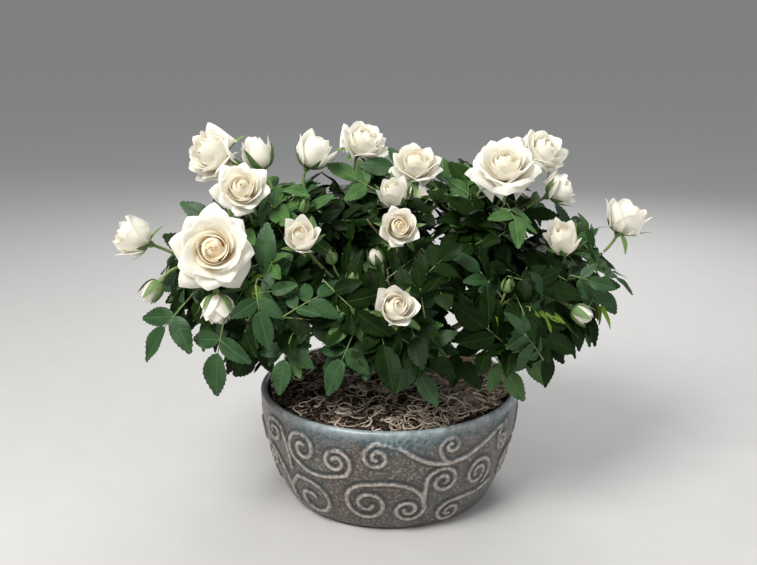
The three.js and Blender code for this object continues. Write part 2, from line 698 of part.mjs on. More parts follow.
// Leafy shoots without a flower reach out evenly from the mass's stem.
function leafyShoots(mass, random) {
  const stem = caneCurve(mass);
  const middle = vector(mass.middle);
  const outward = middle.clone().sub(HEART_OF_BUSH).normalize();
  const upright = new THREE.Quaternion().setFromUnitVectors(new THREE.Vector3(0, 0, 1), outward);
  const shoots = [];
  for (let i = 0; i < LEAFY_SHOOTS; i++) {
    const lift = 1 - SHOOT_SPREAD * ((i + 0.5) / LEAFY_SHOOTS);
    const turn = i * GOLDEN_ANGLE + random() * 0.6;
    const flat = Math.sqrt(1 - lift * lift);
    const way = new THREE.Vector3(Math.cos(turn) * flat, Math.sin(turn) * flat, lift);
    way.applyQuaternion(upright);
    const from = SHOOT_STARTS.from + SHOOT_STARTS.over * random();
    const start = stem.getPointAt(mix(caneEnd(mass), 1, from));
    const reach = mass.radius * SHOOT_REACH;
    const end = middle.clone().addScaledVector(way, reach);
    const bend = start.clone().lerp(end, 0.5).add(new THREE.Vector3(0, 0, reach * SHOOT_ARCH));
    shoots.push(new THREE.QuadraticBezierCurve3(start, bend, end));
  }
  return shoots;
}

// The places where leaves grow, the outermost first: a shoot, and how far along it.
function leafNodes(shoots) {
  const nodes = [];
  for (const shoot of shoots) {
    const length = (shoot.to - shoot.from) * shoot.curve.getLength();
    const count = Math.max(1, Math.round(length / LEAF_SPACING));
    for (let i = 0; i <= count; i++) {
      nodes.push({ shoot, share: mix(shoot.to, shoot.from, i / count), inward: i });
    }
  }
  return nodes.sort((a, b) => a.inward - b.inward);
}

function massGeometry(mass, seed, obstacles) {
  const random = seeded(seed);
  const stem = caneCurve(mass);
  const start = caneEnd(mass) + SEAT / stem.getLength();
  const shoots = [];
  for (const curve of leafyShoots(mass, random)) {
    const wood = limb(curve, 0, 1, SHOOT_TIP_RADIUS, SHOOT_TIP_RADIUS, 3, 1);
    if (keepsItsPlace(mass, wood) && !touches(wood, obstacles)) {
      shoots.push({ curve, from: BARE_SHOOT, to: 1, wood, leafy: false });
    }
  }
  for (const bloom of ROSES.filter((b) => b.mass === mass.name)) {
    const { curve, share } = flowerCurve(mass, bloom);
    const wood = limb(curve, 0, share, SHOOT_RADIUS, STALK_RADIUS, 3, 3);
    shoots.push({ curve, from: BARE_FLOWERING_SHOOT, to: share * LAST_LEAF, wood, leafy: true });
  }
  const pieces = [limb(stem, start, 1, CANE_TIP_RADIUS, STEM_TIP_RADIUS, 4, 2)];
  const wood = [...pieces, ...shoots.map((shoot) => shoot.wood)];
  let taken = joined([obstacles, ...wood.map(solidOf)]);
  let spiral = random() * 2 * Math.PI;
  let leaves = 0;
  for (const node of leafNodes(shoots)) {
    for (let attempt = 0; attempt < LEAF_TRIES && leaves < LEAVES_EACH; attempt++) {
      spiral += GOLDEN_ANGLE;
      const size = mix(LARGEST_LEAF, SMALLEST_LEAF, attempt / LEAF_TRIES);
      const lean = new THREE.Vector3(random() - 0.5, random() - 0.5, random() - 0.5);
      const pose = leafPose(node.shoot.curve, node.share, spiral, size, lean);
      const grown = leafGeometry(pose, LEAF_CLEAR);
      if (!keepsItsPlace(mass, grown) || touches(grown, taken)) continue;
      const leaf = leafGeometry(pose, 0);
      pieces.push(leaf);
      node.shoot.leafy = true;
      taken = taken.add(solidOf(leaf));
      leaves += 1;
      break;
    }
  }
  pieces.push(...shoots.filter(({ leafy }) => leafy).map(({ wood }) => wood));
  return geometryOf(largestBody(joined(pieces.map(solidOf))));
}

// The bush

const FIRST_SEED = 11;
const bush = new THREE.Group();

function add(name, geometry, material) {
  const mesh = new THREE.Mesh(geometry, material);
  mesh.name = name;
  bush.add(mesh);
  return mesh;
}

add("bowl", bowlGeometry(), GLAZE);
add("potting_soil", soilGeometry(), SOIL);
add("moss_mat", mossGeometry(), MOSS);
add("crown", crownGeometry(), BARK);
for (const mass of MASSES) {
  const radii = [CANE_FOOT_RADIUS, CANE_TIP_RADIUS];
  const cane = limb(caneCurve(mass), 0, caneEnd(mass), ...radii, CANE_SIDES, CANE_STEPS);
  add(`cane_${mass.name}`, cane, BARK);
}
for (const bloom of ROSES) {
  add(`rose_${bloom.name}`, roseGeometry(bloom), PETAL);
}
const obstacles = joined(bush.children.map((mesh) => solidOf(mesh.geometry)));
MASSES.forEach((mass, index) => {
  add(`leaves_${mass.name}`, massGeometry(mass, FIRST_SEED + index, obstacles), LEAF);
});

export default bush;
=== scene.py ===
# %% [markdown]
# A white miniature rose in a glazed bowl.
# The solids already say where everything is: the bowl, its filling, the canes, the blooms and the
# masses of leaves. This lesson dresses them, so the first step loads them as a frame that never
# moves. All measures below are in millimetres, because a rose is drawn more easily that way, and
# each mesh is made small by a thousand when it goes into Blender, which counts in metres.

# %% Load the frame
import math

import bpy
import numpy as np
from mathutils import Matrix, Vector, kdtree


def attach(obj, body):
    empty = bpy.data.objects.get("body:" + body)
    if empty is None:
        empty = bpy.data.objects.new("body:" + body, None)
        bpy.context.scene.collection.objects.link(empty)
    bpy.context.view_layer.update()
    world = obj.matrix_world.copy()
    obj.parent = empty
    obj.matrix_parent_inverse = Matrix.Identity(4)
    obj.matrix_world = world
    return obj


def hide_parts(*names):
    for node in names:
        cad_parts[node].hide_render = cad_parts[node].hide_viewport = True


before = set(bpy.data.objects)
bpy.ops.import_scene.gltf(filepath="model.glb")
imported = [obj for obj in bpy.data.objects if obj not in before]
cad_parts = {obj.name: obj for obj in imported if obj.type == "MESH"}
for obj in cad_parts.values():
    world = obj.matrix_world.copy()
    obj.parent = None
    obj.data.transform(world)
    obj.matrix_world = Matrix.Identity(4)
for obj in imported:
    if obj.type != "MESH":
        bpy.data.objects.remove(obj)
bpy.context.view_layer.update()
MM = 0.001
FULL_TURN = 2 * math.pi
print("solids loaded:", len(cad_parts))

# %% [markdown]
# The camera stands where the photographer stood: a little left of the middle, 680 mm in front of
# the bowl's axis, and it looks down by 15 degrees. The focal length is kept as it was measured, in
# pixels of the photograph's width, and turned into a lens for a 36 mm sensor.

# %% The camera
PHOTO_WIDTH = 757
FOCUS_PIXELS = 900
SENSOR = 36
CAMERA_AT = (-8.5, -680, 350)
CAMERA_DIP = 14.9

lens = bpy.data.cameras.new("camera")
lens.sensor_width = SENSOR
lens.lens = SENSOR * FOCUS_PIXELS / PHOTO_WIDTH
camera = bpy.data.objects.new("camera", lens)
camera.location = Vector(CAMERA_AT) * MM
camera.rotation_euler = (math.radians(90 - CAMERA_DIP), 0, 0)
bpy.context.scene.collection.objects.link(camera)
bpy.context.scene.camera = camera
print("lens:", round(lens.lens, 1), "mm")

# %% [markdown]
# A finish in Blender is a small net of nodes. Two helpers keep the net readable: one makes a
# Principled shader with its plain numbers set on the shader itself, the other adds a node and
# joins its inputs by name. Object coordinates place every pattern, so a pattern stays where it is
# on the plant when the camera walks round it. The Mix node has sockets for numbers, vectors and
# colours under the same names, so its colour sockets are asked for by number.

# %% Helpers for finishes
MIX_INPUTS = (0, 6, 7)
MIX_OUTPUT = 2


def finish(name, colour, roughness, **plain):
    """A new material, its node tree and its Principled shader."""
    made = bpy.data.materials.new(name)
    made.use_nodes = True
    shader = made.node_tree.nodes["Principled BSDF"]
    shader.inputs["Base Color"].default_value = (*colour, 1)
    shader.inputs["Roughness"].default_value = roughness
    for socket, value in plain.items():
        shader.inputs[socket.replace("_", " ")].default_value = value
    return made, made.node_tree, shader


def node(tree, kind, joins=None, **settings):
    """A new node, with its settings made and its inputs joined or given a value."""
    made = tree.nodes.new(kind)
    for name, value in settings.items():
        setattr(made, name, value)
    for name, value in (joins or {}).items():
        if isinstance(value, bpy.types.NodeSocket):
            tree.links.new(value, made.inputs[name])
        else:
            made.inputs[name].default_value = value
    return made


def place(tree):
    """Where a point is on the plant, in metres."""
    return node(tree, "ShaderNodeTexCoord").outputs["Object"]


def noise(tree, size, detail=3, roughness=0.5, where=None):
    """Cloudy noise whose patches are about size millimetres wide, as a number from 0 to 1."""
    joins = {
        "Vector": where or place(tree),
        "Scale": 1 / (size * MM),
        "Detail": detail,
        "Roughness": roughness,
    }
    return node(tree, "ShaderNodeTexNoise", joins).outputs["Fac"]


def between(tree, value, low, high, start=0, end=1):
    """value carried from low..high to start..end, and held there outside."""
    joins = {"Value": value, "From Min": low, "From Max": high, "To Min": start, "To Max": end}
    return node(tree, "ShaderNodeMapRange", joins).outputs["Result"]


def sum_of(tree, kind, first, second=0):
    """One sum on one or two numbers."""
    return node(tree, "ShaderNodeMath", {0: first, 1: second}, operation=kind).outputs[0]


def blend(tree, share, first, second):
    """The colour that lies share of the way from the first to the second."""
    made = node(tree, "ShaderNodeMix", data_type="RGBA")
    for number, value in zip(MIX_INPUTS, (share, first, second)):
        socket = made.inputs[number]
        if isinstance(value, bpy.types.NodeSocket):
            tree.links.new(value, socket)
        else:
            socket.default_value = value if socket.type == "VALUE" else (*value, 1)
    return made.outputs[MIX_OUTPUT]


def paint(tree, shader, colour):
    """Gives a shader a colour that nodes have worked out."""
    tree.links.new(colour, shader.inputs["Base Color"])


def mark(tree, name):
    """A number that the mesh keeps at each of its points."""
    return node(tree, "ShaderNodeAttribute", attribute_name=name).outputs["Fac"]


def rough_relief(tree, shader, height, depth):
    """Fine relief of that depth in millimetres, on top of the mesh's own shape."""
    joins = {"Height": height, "Distance": depth * MM, "Strength": 1.0}
    bump = node(tree, "ShaderNodeBump", joins)
    tree.links.new(bump.outputs["Normal"], shader.inputs["Normal"])


def let_light_through(tree, shader, colour, share):
    """Lets a share of the light pass through a thin sheet and take its colour."""
    glow = node(tree, "ShaderNodeBsdfTranslucent", {"Color": colour})
    mixed = node(tree, "ShaderNodeMixShader", {0: share, 1: shader.outputs[0], 2: glow.outputs[0]})
    tree.links.new(mixed.outputs[0], tree.nodes["Material Output"].inputs["Surface"])


print("finish helpers ready")

# %% [markdown]
# The stage is a wide pale floor under a pale sky, so the picture has no edge, with soft boxes as a
# photographer would hang them: a large one high on the left in front, a weaker one on the right,
# and one behind that draws a bright edge round petals and leaves. The floor gets a faint grain
# because a perfectly even floor looks like paper. Low down the sky has the tone of the far floor, so
# no horizon shows.

# %% Floor, sky and lights
FLOOR_HALF = 9000
FLOOR_GRAIN = 30
HORIZON_RISE = 0.05
SKY_RISE = 0.6
PLANT_MIDDLE = (0, 0, 150)

floor_mesh = bpy.data.meshes.new("floor")
corners = [(-1, -1, 0), (1, -1, 0), (1, 1, 0), (-1, 1, 0)]
floor_mesh.from_pydata([Vector(c) * FLOOR_HALF * MM for c in corners], [], [(0, 1, 2, 3)])
floor = bpy.data.objects.new("floor", floor_mesh)
bpy.context.scene.collection.objects.link(floor)

floor_finish, tree, shader = finish("floor_finish", (0.52, 0.51, 0.5), 0.75)
grain = noise(tree, FLOOR_GRAIN, detail=5)
paint(tree, shader, blend(tree, grain, (0.50, 0.49, 0.475), (0.54, 0.53, 0.52)))
floor_mesh.materials.append(floor_finish)

sky = bpy.data.worlds.new("sky")
sky.use_nodes = True
tree = sky.node_tree
ways = node(tree, "ShaderNodeTexCoord").outputs["Generated"]
rise = node(tree, "ShaderNodeSeparateXYZ", {"Vector": ways}).outputs["Z"]
rise = between(tree, rise, HORIZON_RISE, SKY_RISE)
shade = blend(tree, rise, (0.215, 0.218, 0.224), (0.42, 0.432, 0.45))
tree.links.new(shade, tree.nodes["Background"].inputs["Color"])
bpy.context.scene.world = sky


def soft_box(name, at, size, power, tint):
    """A square lamp that hangs at a place and looks at the middle of the plant."""
    lamp = bpy.data.lights.new(name, "AREA")
    lamp.size = size * MM
    lamp.energy = power
    lamp.color = tint
    made = bpy.data.objects.new(name, lamp)
    made.location = Vector(at) * MM
    aim = Vector(PLANT_MIDDLE) - Vector(at)
    made.rotation_euler = aim.to_track_quat("-Z", "Y").to_euler()
    bpy.context.scene.collection.objects.link(made)


soft_box("key_light", (-540, -740, 1160), 600, 23, (1, 0.985, 0.955))
soft_box("fill_light", (950, -650, 520), 800, 3.2, (0.95, 0.97, 1))
soft_box("edge_light", (250, 950, 900), 700, 8, (1, 1, 1))
bpy.context.scene.view_settings.view_transform = "Standard"
print("lamps:", len(bpy.data.lights))

# %% [markdown]
# Almost everything here is many small sheets and tubes. A pile gathers them as arrays and turns
# them into one mesh at the end, which is far quicker than joining objects. Each small mesh brings
# its points, its faces, the number of its finish and, where a finish needs it, marks: numbers kept
# at the points, such as how near a petal's root a point lies.

# %% A pile of small meshes
SLANTED = (0.3, 0.2, 1.0)


class Pile:
    """Small meshes in millimetres that become one piece."""

    def __init__(self, *marks):
        self.points = []
        self.faces = []
        self.finishes = []
        self.marks = {name: [] for name in marks}
        self.count = 0

    def add(self, points, *face_sets, finish_number=0, **marks):
        """Adds points, and faces as arrays of 3 or 4 columns that count from these points."""
        points = np.asarray(points, float).reshape(-1, 3)
        for faces in face_sets:
            faces = np.asarray(faces, int)
            self.faces.append(faces + self.count)
            self.finishes.append(np.full(len(faces), finish_number))
        for name, kept in self.marks.items():
            kept.append(np.broadcast_to(marks.get(name, 0.0), len(points)))
        self.points.append(points)
        self.count += len(points)

    def piece(self, name, slot, materials, replaced=()):
        """The pile as one smooth object that rides on the plant's body."""
        mesh = bpy.data.meshes.new(name)
        points = np.concatenate(self.points) * MM
        corners = np.concatenate([faces.ravel() for faces in self.faces])
        sizes = np.concatenate([np.full(len(faces), faces.shape[1]) for faces in self.faces])
        mesh.vertices.add(len(points))
        mesh.vertices.foreach_set("co", points.astype(np.float32).ravel())
        mesh.loops.add(len(corners))
        mesh.loops.foreach_set("vertex_index", corners.astype(np.int32))
        mesh.polygons.add(len(sizes))
        starts = np.concatenate([[0], np.cumsum(sizes)[:-1]])
        mesh.polygons.foreach_set("loop_start", starts.astype(np.int32))
        mesh.polygons.foreach_set("material_index", np.concatenate(self.finishes).astype(np.int32))
        mesh.update(calc_edges=True)
        mesh.shade_smooth()
        for mark_name, values in self.marks.items():
            kept = mesh.attributes.new(mark_name, "FLOAT", "POINT")
            kept.data.foreach_set("value", np.concatenate(values).astype(np.float32))
        for material in materials:
            mesh.materials.append(material)
        made = bpy.data.objects.new(name, mesh)
        bpy.context.scene.collection.objects.link(made)
        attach(made, "root")
        if replaced:
            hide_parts(*replaced)
        self.triangles = int((sizes - 2).sum())


def sheet_faces(rows, columns, closed=False):
    """The quads of a sheet of rows by columns points. A closed one goes round in its columns."""
    row, column = np.meshgrid(np.arange(rows - 1), np.arange(columns - (not closed)), indexing="ij")
    after = (column + 1) % columns
    quads = [row * columns + column, row * columns + after]
    quads += [(row + 1) * columns + after, (row + 1) * columns + column]
    return np.stack(quads, -1).reshape(-1, 4)


def unit(vectors):
    """Vectors made one long."""
    vectors = np.asarray(vectors, float)
    return vectors / np.maximum(np.linalg.norm(vectors, axis=-1, keepdims=True), 1e-9)


def tube(line, radii, sides):
    """Points and faces of a tube with closed ends. It has one radius at each point of its line, or
    one at each point and side."""
    line = np.asarray(line, float)
    along = unit(np.gradient(line, axis=0))
    across = np.zeros_like(line)
    first = np.cross(SLANTED, along[0])
    across[0] = unit(first if np.linalg.norm(first) > 0.1 else np.cross([1.0, 0, 0], along[0]))
    for i in range(1, len(line)):
        kept = across[i - 1] - along[i] * (across[i - 1] @ along[i])
        across[i] = unit(kept)
    over = np.cross(along, across)
    turn = np.arange(sides) * FULL_TURN / sides
    radii = radii if np.ndim(radii) == 2 else radii[:, None]
    ring = across[:, None] * np.cos(turn)[:, None] + over[:, None] * np.sin(turn)[:, None]
    points = line[:, None] + ring * radii[..., None]
    points = np.concatenate([points.reshape(-1, 3), line[:1], line[-1:]])
    sheet = sheet_faces(len(line), sides, closed=True)
    here = np.arange(sides)
    after = (here + 1) % sides
    last = (len(line) - 1) * sides
    foot = np.stack([np.full(sides, len(points) - 2), after, here], 1)
    tip = np.stack([np.full(sides, len(points) - 1), last + here, last + after], 1)
    return points, sheet, np.concatenate([foot, tip])


print("pile and tube ready")

# %% [markdown]
# The growth rule of the solids is written here again, because this file reads nothing but the
# frame. Canes are curves that leave the crown at an angle and end in the middle of a mass. Each
# bloom hangs on a curve of its own that starts on its mass's stem and arrives at the hip along the
# way the bloom faces. Asking a curve by a share of its length keeps leaves evenly spaced.

# %% Curves
PATH_POINTS = 201
LOOK_AHEAD = 0.01
NEARLY_ALONG = 0.05


class Path:
    """A Bezier curve of three or four points, asked by share of its length."""

    def __init__(self, *controls):
        share = np.linspace(0, 1, PATH_POINTS)[:, None]
        points = [np.asarray(control, float) for control in controls]
        while len(points) > 1:
            points = [a + (b - a) * share for a, b in zip(points, points[1:])]
        self.points = points[0]
        steps = np.linalg.norm(np.diff(self.points, axis=0), axis=1)
        self.marks = np.concatenate([[0], np.cumsum(steps)])
        self.length = self.marks[-1]

    def at(self, share):
        """The point, or points, at a share of the length."""
        reach = np.asarray(share, float) * self.length
        return np.stack([np.interp(reach, self.marks, self.points[:, i]) for i in range(3)], -1)

    def along(self, share):
        """The way the curve runs there, one long."""
        return unit(self.at(min(share + LOOK_AHEAD, 1)) - self.at(max(share - LOOK_AHEAD, 0)))

    def frame(self, share):
        """The point, the way along, and two ways square to it that turn evenly."""
        along = self.along(share)
        across = np.cross([1.0, 0, 0], along)
        if across @ across < NEARLY_ALONG:
            across = np.cross([0, 1.0, 0], along)
        across = unit(across)
        return self.at(share), along, across, np.cross(across, along)


def mix(first, second, share):
    """What lies share of the way from the first to the second."""
    return first + (second - first) * share


def seeded(state):
    """The source's own row of random numbers, so that its shoots grow here again."""
    def draw():
        nonlocal state
        state = (state + 0x6D2B79F5) & 0xFFFFFFFF
        mixed = ((state ^ (state >> 15)) * (state | 1)) & 0xFFFFFFFF
        mixed = ((mixed + ((mixed ^ (mixed >> 7)) * (mixed | 61))) ^ mixed) & 0xFFFFFFFF
        return (mixed ^ (mixed >> 14)) / 4294967296
    return draw


print("curves ready")

# %% [markdown]
# These are the plant's driving sizes: where each mass of leaves has its middle and how its cane
# leaves the crown, and for each bloom its heart, the way it faces, its width and how far it is
# open. They are the same as in the solids, so what grows here lies where the solids lie.

# %% The plant's measures
CROWN_RADIUS = 13
CROWN_FOOT_RADIUS = 17
CROWN_CENTRE = 94
SEAT = 0.3
CANE_START = 0.3
CANE_ARCH = 0.12
CANE_INSIDE = 5
HIP_LENGTH = 5
HEART_DEPTH = 0.55
FLOWER_START = 0.45
SHOOT_INSIDE = 2.2
SHORTEST_STALK = 16
GOLDEN_ANGLE = math.pi * (3 - math.sqrt(5))
HEART_OF_BUSH = np.array([0.0, 0, 135])

# Each mass: its middle, its reach, and the compass way and the rise of its cane in degrees.
MASSES = {
    "left": ((-132, -28, 176), 54, 195, 38),
    "front_left": ((-78, -82, 160), 50, 232, 36),
    "front": ((2, -84, 163), 50, 272, 38),
    "front_right": ((82, -74, 158), 50, 314, 36),
    "right": ((136, -8, 172), 54, 356, 38),
    "back_right": ((92, 78, 168), 50, 40, 36),
    "back": ((4, 90, 172), 52, 88, 38),
    "back_left": ((-88, 74, 170), 50, 140, 36),
    "top_left": ((-88, -8, 219), 46, 180, 68),
    "top_middle": ((-8, 6, 222), 46, 75, 74),
    "top_right": ((74, 0, 220), 46, 0, 68),
}
# Each bloom: its mass, its heart, the way that it faces, its width, and how open it is up to 1.
ROSES = {
    "front_left_full": ("front_left", (-118, -100, 219), (0.05, -0.92, 0.32), 59, 1),
    "far_left": ("left", (-181, -70, 221), (-0.86, -0.25, 0.42), 33, 0.6),
    "top_left_open": ("top_left", (-134, -20, 272), (-0.72, -0.62, 0.25), 48, 0.85),
    "top_left_goblet": ("top_left", (-101, 4, 271), (-0.35, 0.05, 0.9), 27, 0.4),
    "upper_left": ("front_left", (-105, -50, 252), (0.1, -0.85, 0.5), 42, 0.9),
    "top_goblet": ("top_middle", (-56, 0, 273), (0.42, -0.1, 0.88), 32, 0.5),
    "top_side": ("top_middle", (-19, 17, 279), (0.36, -0.4, 0.82), 42, 0.85),
    "top_open": ("top_middle", (20, 2, 264), (0.02, -0.5, 0.84), 43, 0.9),
    "middle_small": ("top_middle", (2, -36, 247), (-0.2, -0.55, 0.8), 24, 0.45),
    "middle_open": ("front", (6, -76, 229), (0.02, -0.92, 0.36), 30, 0.75),
    "front_high": ("front", (-60, -92, 226), (-0.08, -0.78, 0.6), 27, 0.55),
    "front_low": ("front", (3, -126, 187), (0.16, -0.82, 0.55), 29, 0.6),
    "bud_middle": ("front", (-11, -66, 206), (-0.28, -0.4, 0.9), 11, 0.12),
    "bud_front": ("front", (17, -90, 199), (0.04, -0.25, 1), 9, 0),
    "top_right_full": ("top_right", (84, -22, 266), (-0.16, -0.56, 0.8), 57, 1),
    "top_right_open": ("top_right", (122, 26, 271), (0.42, -0.5, 0.74), 46, 0.9),
    "right_side": ("top_right", (131, -2, 244), (0.78, -0.2, 0.5), 29, 0.65),
    "right_upper": ("right", (125, -42, 215), (-0.22, -0.5, 0.84), 29, 0.5),
    "far_right": ("right", (177, -20, 226), (0.38, -0.12, 0.9), 36, 0.68),
    "bud_left": ("left", (-166, -80, 183), (-0.6, -0.25, -0.72), 14, 0.2),
    "nodding_left": ("front_left", (-118, -95, 174), (0.05, -0.35, -0.94), 25, 0.5),
    "bud_right": ("right", (139, -62, 161), (0.8, -0.3, -0.46), 14, 0.22),
    "back_left_open": ("back_left", (-76, 96, 218), (-0.32, 0.72, 0.62), 44, 0.9),
    "back_full": ("back", (18, 116, 214), (0.04, 0.84, 0.52), 50, 1),
    "back_right_goblet": ("back_right", (96, 94, 214), (0.4, 0.68, 0.6), 33, 0.6),
    "left_back": ("back_left", (-136, 64, 200), (-0.78, 0.4, 0.45), 30, 0.6),
    "back_low": ("back", (-34, 132, 176), (-0.15, 0.95, 0.25), 29, 0.55),
    "right_back": ("back_right", (146, 66, 186), (0.75, 0.5, 0.42), 36, 0.8),
}
middles = {name: np.array(row[0], float) for name, row in MASSES.items()}
print("masses:", len(MASSES), "blooms:", len(ROSES))

# %% [markdown]
# A mass keeps to its own space: half-way planes part it from each neighbour. The cane is the part
# of the curve before it is well inside that space, the stem of the mass is the rest. A flowering
# shoot in the same way becomes a bare flower stalk where it leaves the space, or a short stalk
# below the hip.

# %% Canes, stems and flower curves
CANE_BEND = 0.4
CANE_SHORTEST = 0.45
CANE_LONGEST = 0.8
CANE_STEP = 0.01
FLOWER_BEND = 0.3
FLOWER_STRAIGHT = 0.33
FLOWER_SHORTEST = 0.12
FLOWER_STEP = 0.02
DEPTH_OF = ((0, 1.5), (0.5, 0.8), (1, 0.45))


def room_inside(mass, points):
    """How far points lie inside a mass's own space."""
    points = np.asarray(points, float)
    own = ((points - middles[mass]) ** 2).sum(-1)
    rooms = []
    for other, middle in middles.items():
        if other != mass:
            apart = np.linalg.norm(middle - middles[mass])
            rooms.append((((points - middle) ** 2).sum(-1) - own) / (2 * apart))
    return np.min(rooms, axis=0)


def cane_path(mass):
    """The curve from the crown to the middle of a mass, and the share where its cane ends."""
    azimuth, elevation = (math.radians(angle) for angle in MASSES[mass][2:])
    out = np.array([math.cos(azimuth), math.sin(azimuth), math.tan(elevation)]) * math.cos(elevation)
    start = out * (CROWN_RADIUS + SEAT) + [0, 0, CROWN_CENTRE]
    end = middles[mass]
    span = np.linalg.norm(end - start)
    second = mix(end, start, CANE_BEND) + [0, 0, span * CANE_ARCH]
    path = Path(start, start + out * span * CANE_START, second, end)
    share = CANE_SHORTEST
    while share < CANE_LONGEST and room_inside(mass, path.at(share)) < CANE_INSIDE:
        share += CANE_STEP
    return path, share


canes = {mass: cane_path(mass) for mass in MASSES}


def bloom_depth(width, opened):
    """How deep a bloom is from its foot to its rim: a bud is deep, a full bloom is flat."""
    return width * np.interp(opened, *zip(*DEPTH_OF))


def hip_of(rose):
    """Where a bloom's hip sits on its stalk, and the way the bloom faces."""
    _, heart, faces, width, opened = ROSES[rose]
    faces = unit(faces)
    return np.array(heart) - faces * (bloom_depth(width, opened) * HEART_DEPTH + HIP_LENGTH), faces


def flower_path(rose):
    """The curve that carries a bloom, and the share where its shoot becomes a bare stalk."""
    mass = ROSES[rose][0]
    hip, faces = hip_of(rose)
    stem, stem_start = canes[mass]
    start = stem.at(mix(stem_start, 1, FLOWER_START))
    end = hip + faces
    span = np.linalg.norm(end - start)
    path = Path(start, mix(start, end, FLOWER_BEND), hip - faces * span * FLOWER_STRAIGHT, end)
    last = 1 - SHORTEST_STALK / path.length
    share = FLOWER_SHORTEST
    while share < last and room_inside(mass, path.at(share + FLOWER_STEP)) > SHOOT_INSIDE:
        share += FLOWER_STEP
    return path, share


flowers = {rose: flower_path(rose) for rose in ROSES}
print("canes end at", {mass: round(share, 2) for mass, (_, share) in canes.items()})

# %% [markdown]
# The bowl is thrown stoneware with a raised scroll ornament under a speckled glaze. Its wall could
# be turned from a profile and the scrolls painted on as bump, but raised lines as thick as these
# show at the edge of the bowl, so they are real relief. Each scroll is written on the unrolled wall,
# in millimetres along a wall of 100 mm radius and up from the foot: an eye that winds out, a few
# points to pass through, and often another eye.

# %% The scroll ornament
WALL_RADIUS = 100
EYE_LEFT = 0.2
EYE_WINDS = 0.85
EYE_POINTS = 30
FEWEST_IN_EYE = 8
POINTS_BETWEEN = 12
SCROLL_STEP = 0.7


def eye(middle, reach, start, turns, way):
    """A spiral from its outer end to its eye. start is in degrees, way is 1 or -1."""
    share = np.linspace(0, 1, int(turns * EYE_POINTS))
    turn = np.radians(start + way * 360 * turns * share)
    size = np.asarray(reach, float)[None] * (1 - (1 - EYE_LEFT) * share ** EYE_WINDS)[:, None]
    return np.asarray(middle, float) + size * np.stack([np.cos(turn), np.sin(turn)], 1)


def smooth_line(points):
    """A smooth line through points, even in its steps."""
    points = np.asarray(points, float)
    held = np.concatenate([2 * points[:1] - points[1:2], points, 2 * points[-1:] - points[-2:-1]])
    share = np.linspace(0, 1, POINTS_BETWEEN, endpoint=False)[:, None]
    runs = []
    for a, b, c, d in zip(held, held[1:], held[2:], held[3:]):
        runs.append(0.5 * (2 * b + (c - a) * share + (2 * a - 5 * b + 4 * c - d) * share ** 2
                           + (3 * b - a - 3 * c + d) * share ** 3))
    line = np.concatenate([*runs, points[-1:]])
    marks = np.concatenate([[0], np.cumsum(np.linalg.norm(np.diff(line, axis=0), axis=1))])
    even = np.arange(0, marks[-1], SCROLL_STEP)
    return np.stack([np.interp(even, marks, line[:, i]) for i in (0, 1)], 1)


def stroke(*parts):
    """One raised line: its first eye is turned round so that the line runs from eye to eye."""
    first = parts[0][::-1] if len(parts[0]) > FEWEST_IN_EYE else parts[0]
    return smooth_line(np.concatenate([first, *parts[1:]]))


FRONT_STROKES = [
    stroke(eye((-68, 66), (14.5, 15), 225, 1.45, -1), [(-66, 48)], [(-52, 46.5)],
           eye((-40, 61.5), (12.5, 12.3), 300, 1.6, 1)),
    stroke(eye((-9.5, 68.5), (11.3, 11), 75, 1.5, 1), [(5, 76.5), (14, 70.5), (23, 64.8), (33, 61.2),
           (45, 60.2), (58, 62.4), (72, 68), (86, 74), (98, 77)]),
    stroke(eye((44, 74), (9, 8), 200, 1.3, -1), [(38, 65), (43, 61)]),
    stroke(eye((-17.5, 28), (20, 18), 80, 1.7, 1), [(-4, 46.8), (10, 44.6), (22, 37)],
           eye((14, 22.5), (13.5, 11.5), 10, 1.55, -1)),
    stroke([(26.5, 26), (26.2, 38)], eye((40, 45.5), (13.5, 12.5), 165, 1.6, -1)),
    stroke(eye((72, 44.5), (14, 14), -50, 1.75, 1), [(80, 33)]),
    stroke(eye((51.5, 14.5), (13.5, 10.5), 95, 1.5, 1), [(64, 26), (78, 26.5), (92, 31)]),
    stroke([(-90, 12), (-93, 22)], eye((-68, 21.5), (23, 18.5), 120, 1.25, -1)),
    stroke([(-84, 44), (-84.5, 58)], eye((-101, 69), (13, 11), 30, 1.5, 1)),
    stroke([(-91, 20), (-95, 36)], eye((-113, 43), (11.5, 12), 20, 1.5, 1)),
    stroke([(104, 80), (93, 72)], eye((98, 63), (6.5, 8.5), 170, 1.4, 1)),
    stroke([(128, 52), (118, 50)], eye((113, 37), (9, 11), 100, 1.5, 1)),
]
SIDE_STROKES = [
    stroke(eye((150, 62), (15, 14), 230, 1.5, -1), [(152, 46)], eye((172, 56), (12, 11), 250, 1.5, 1)),
    stroke(eye((148, 24), (15, 13.5), 80, 1.6, 1), [(160, 39), (172, 33)],
           eye((176, 20), (9, 9), 70, 1.4, -1)),
]
HALF_ROUND = math.pi * WALL_RADIUS
strokes = FRONT_STROKES + SIDE_STROKES
strokes += [line + [HALF_ROUND, 0] for line in strokes]
scroll_length = sum(len(line) for line in strokes) * SCROLL_STEP
print("scroll lines:", len(strokes), "of", round(scroll_length), "mm")

# %% [markdown]
# The wall is one sheet of points turned round the axis, fine enough for ribs less than 5 mm wide.
# For every point of the wall a search tree finds the nearest point of a scroll, and the wall rises
# there as a rounded bead. Three marks go with it for the glaze: how high the bead is, where glaze
# would pool beside a bead while the kiln holds it molten, most of all above it, and what is inside.

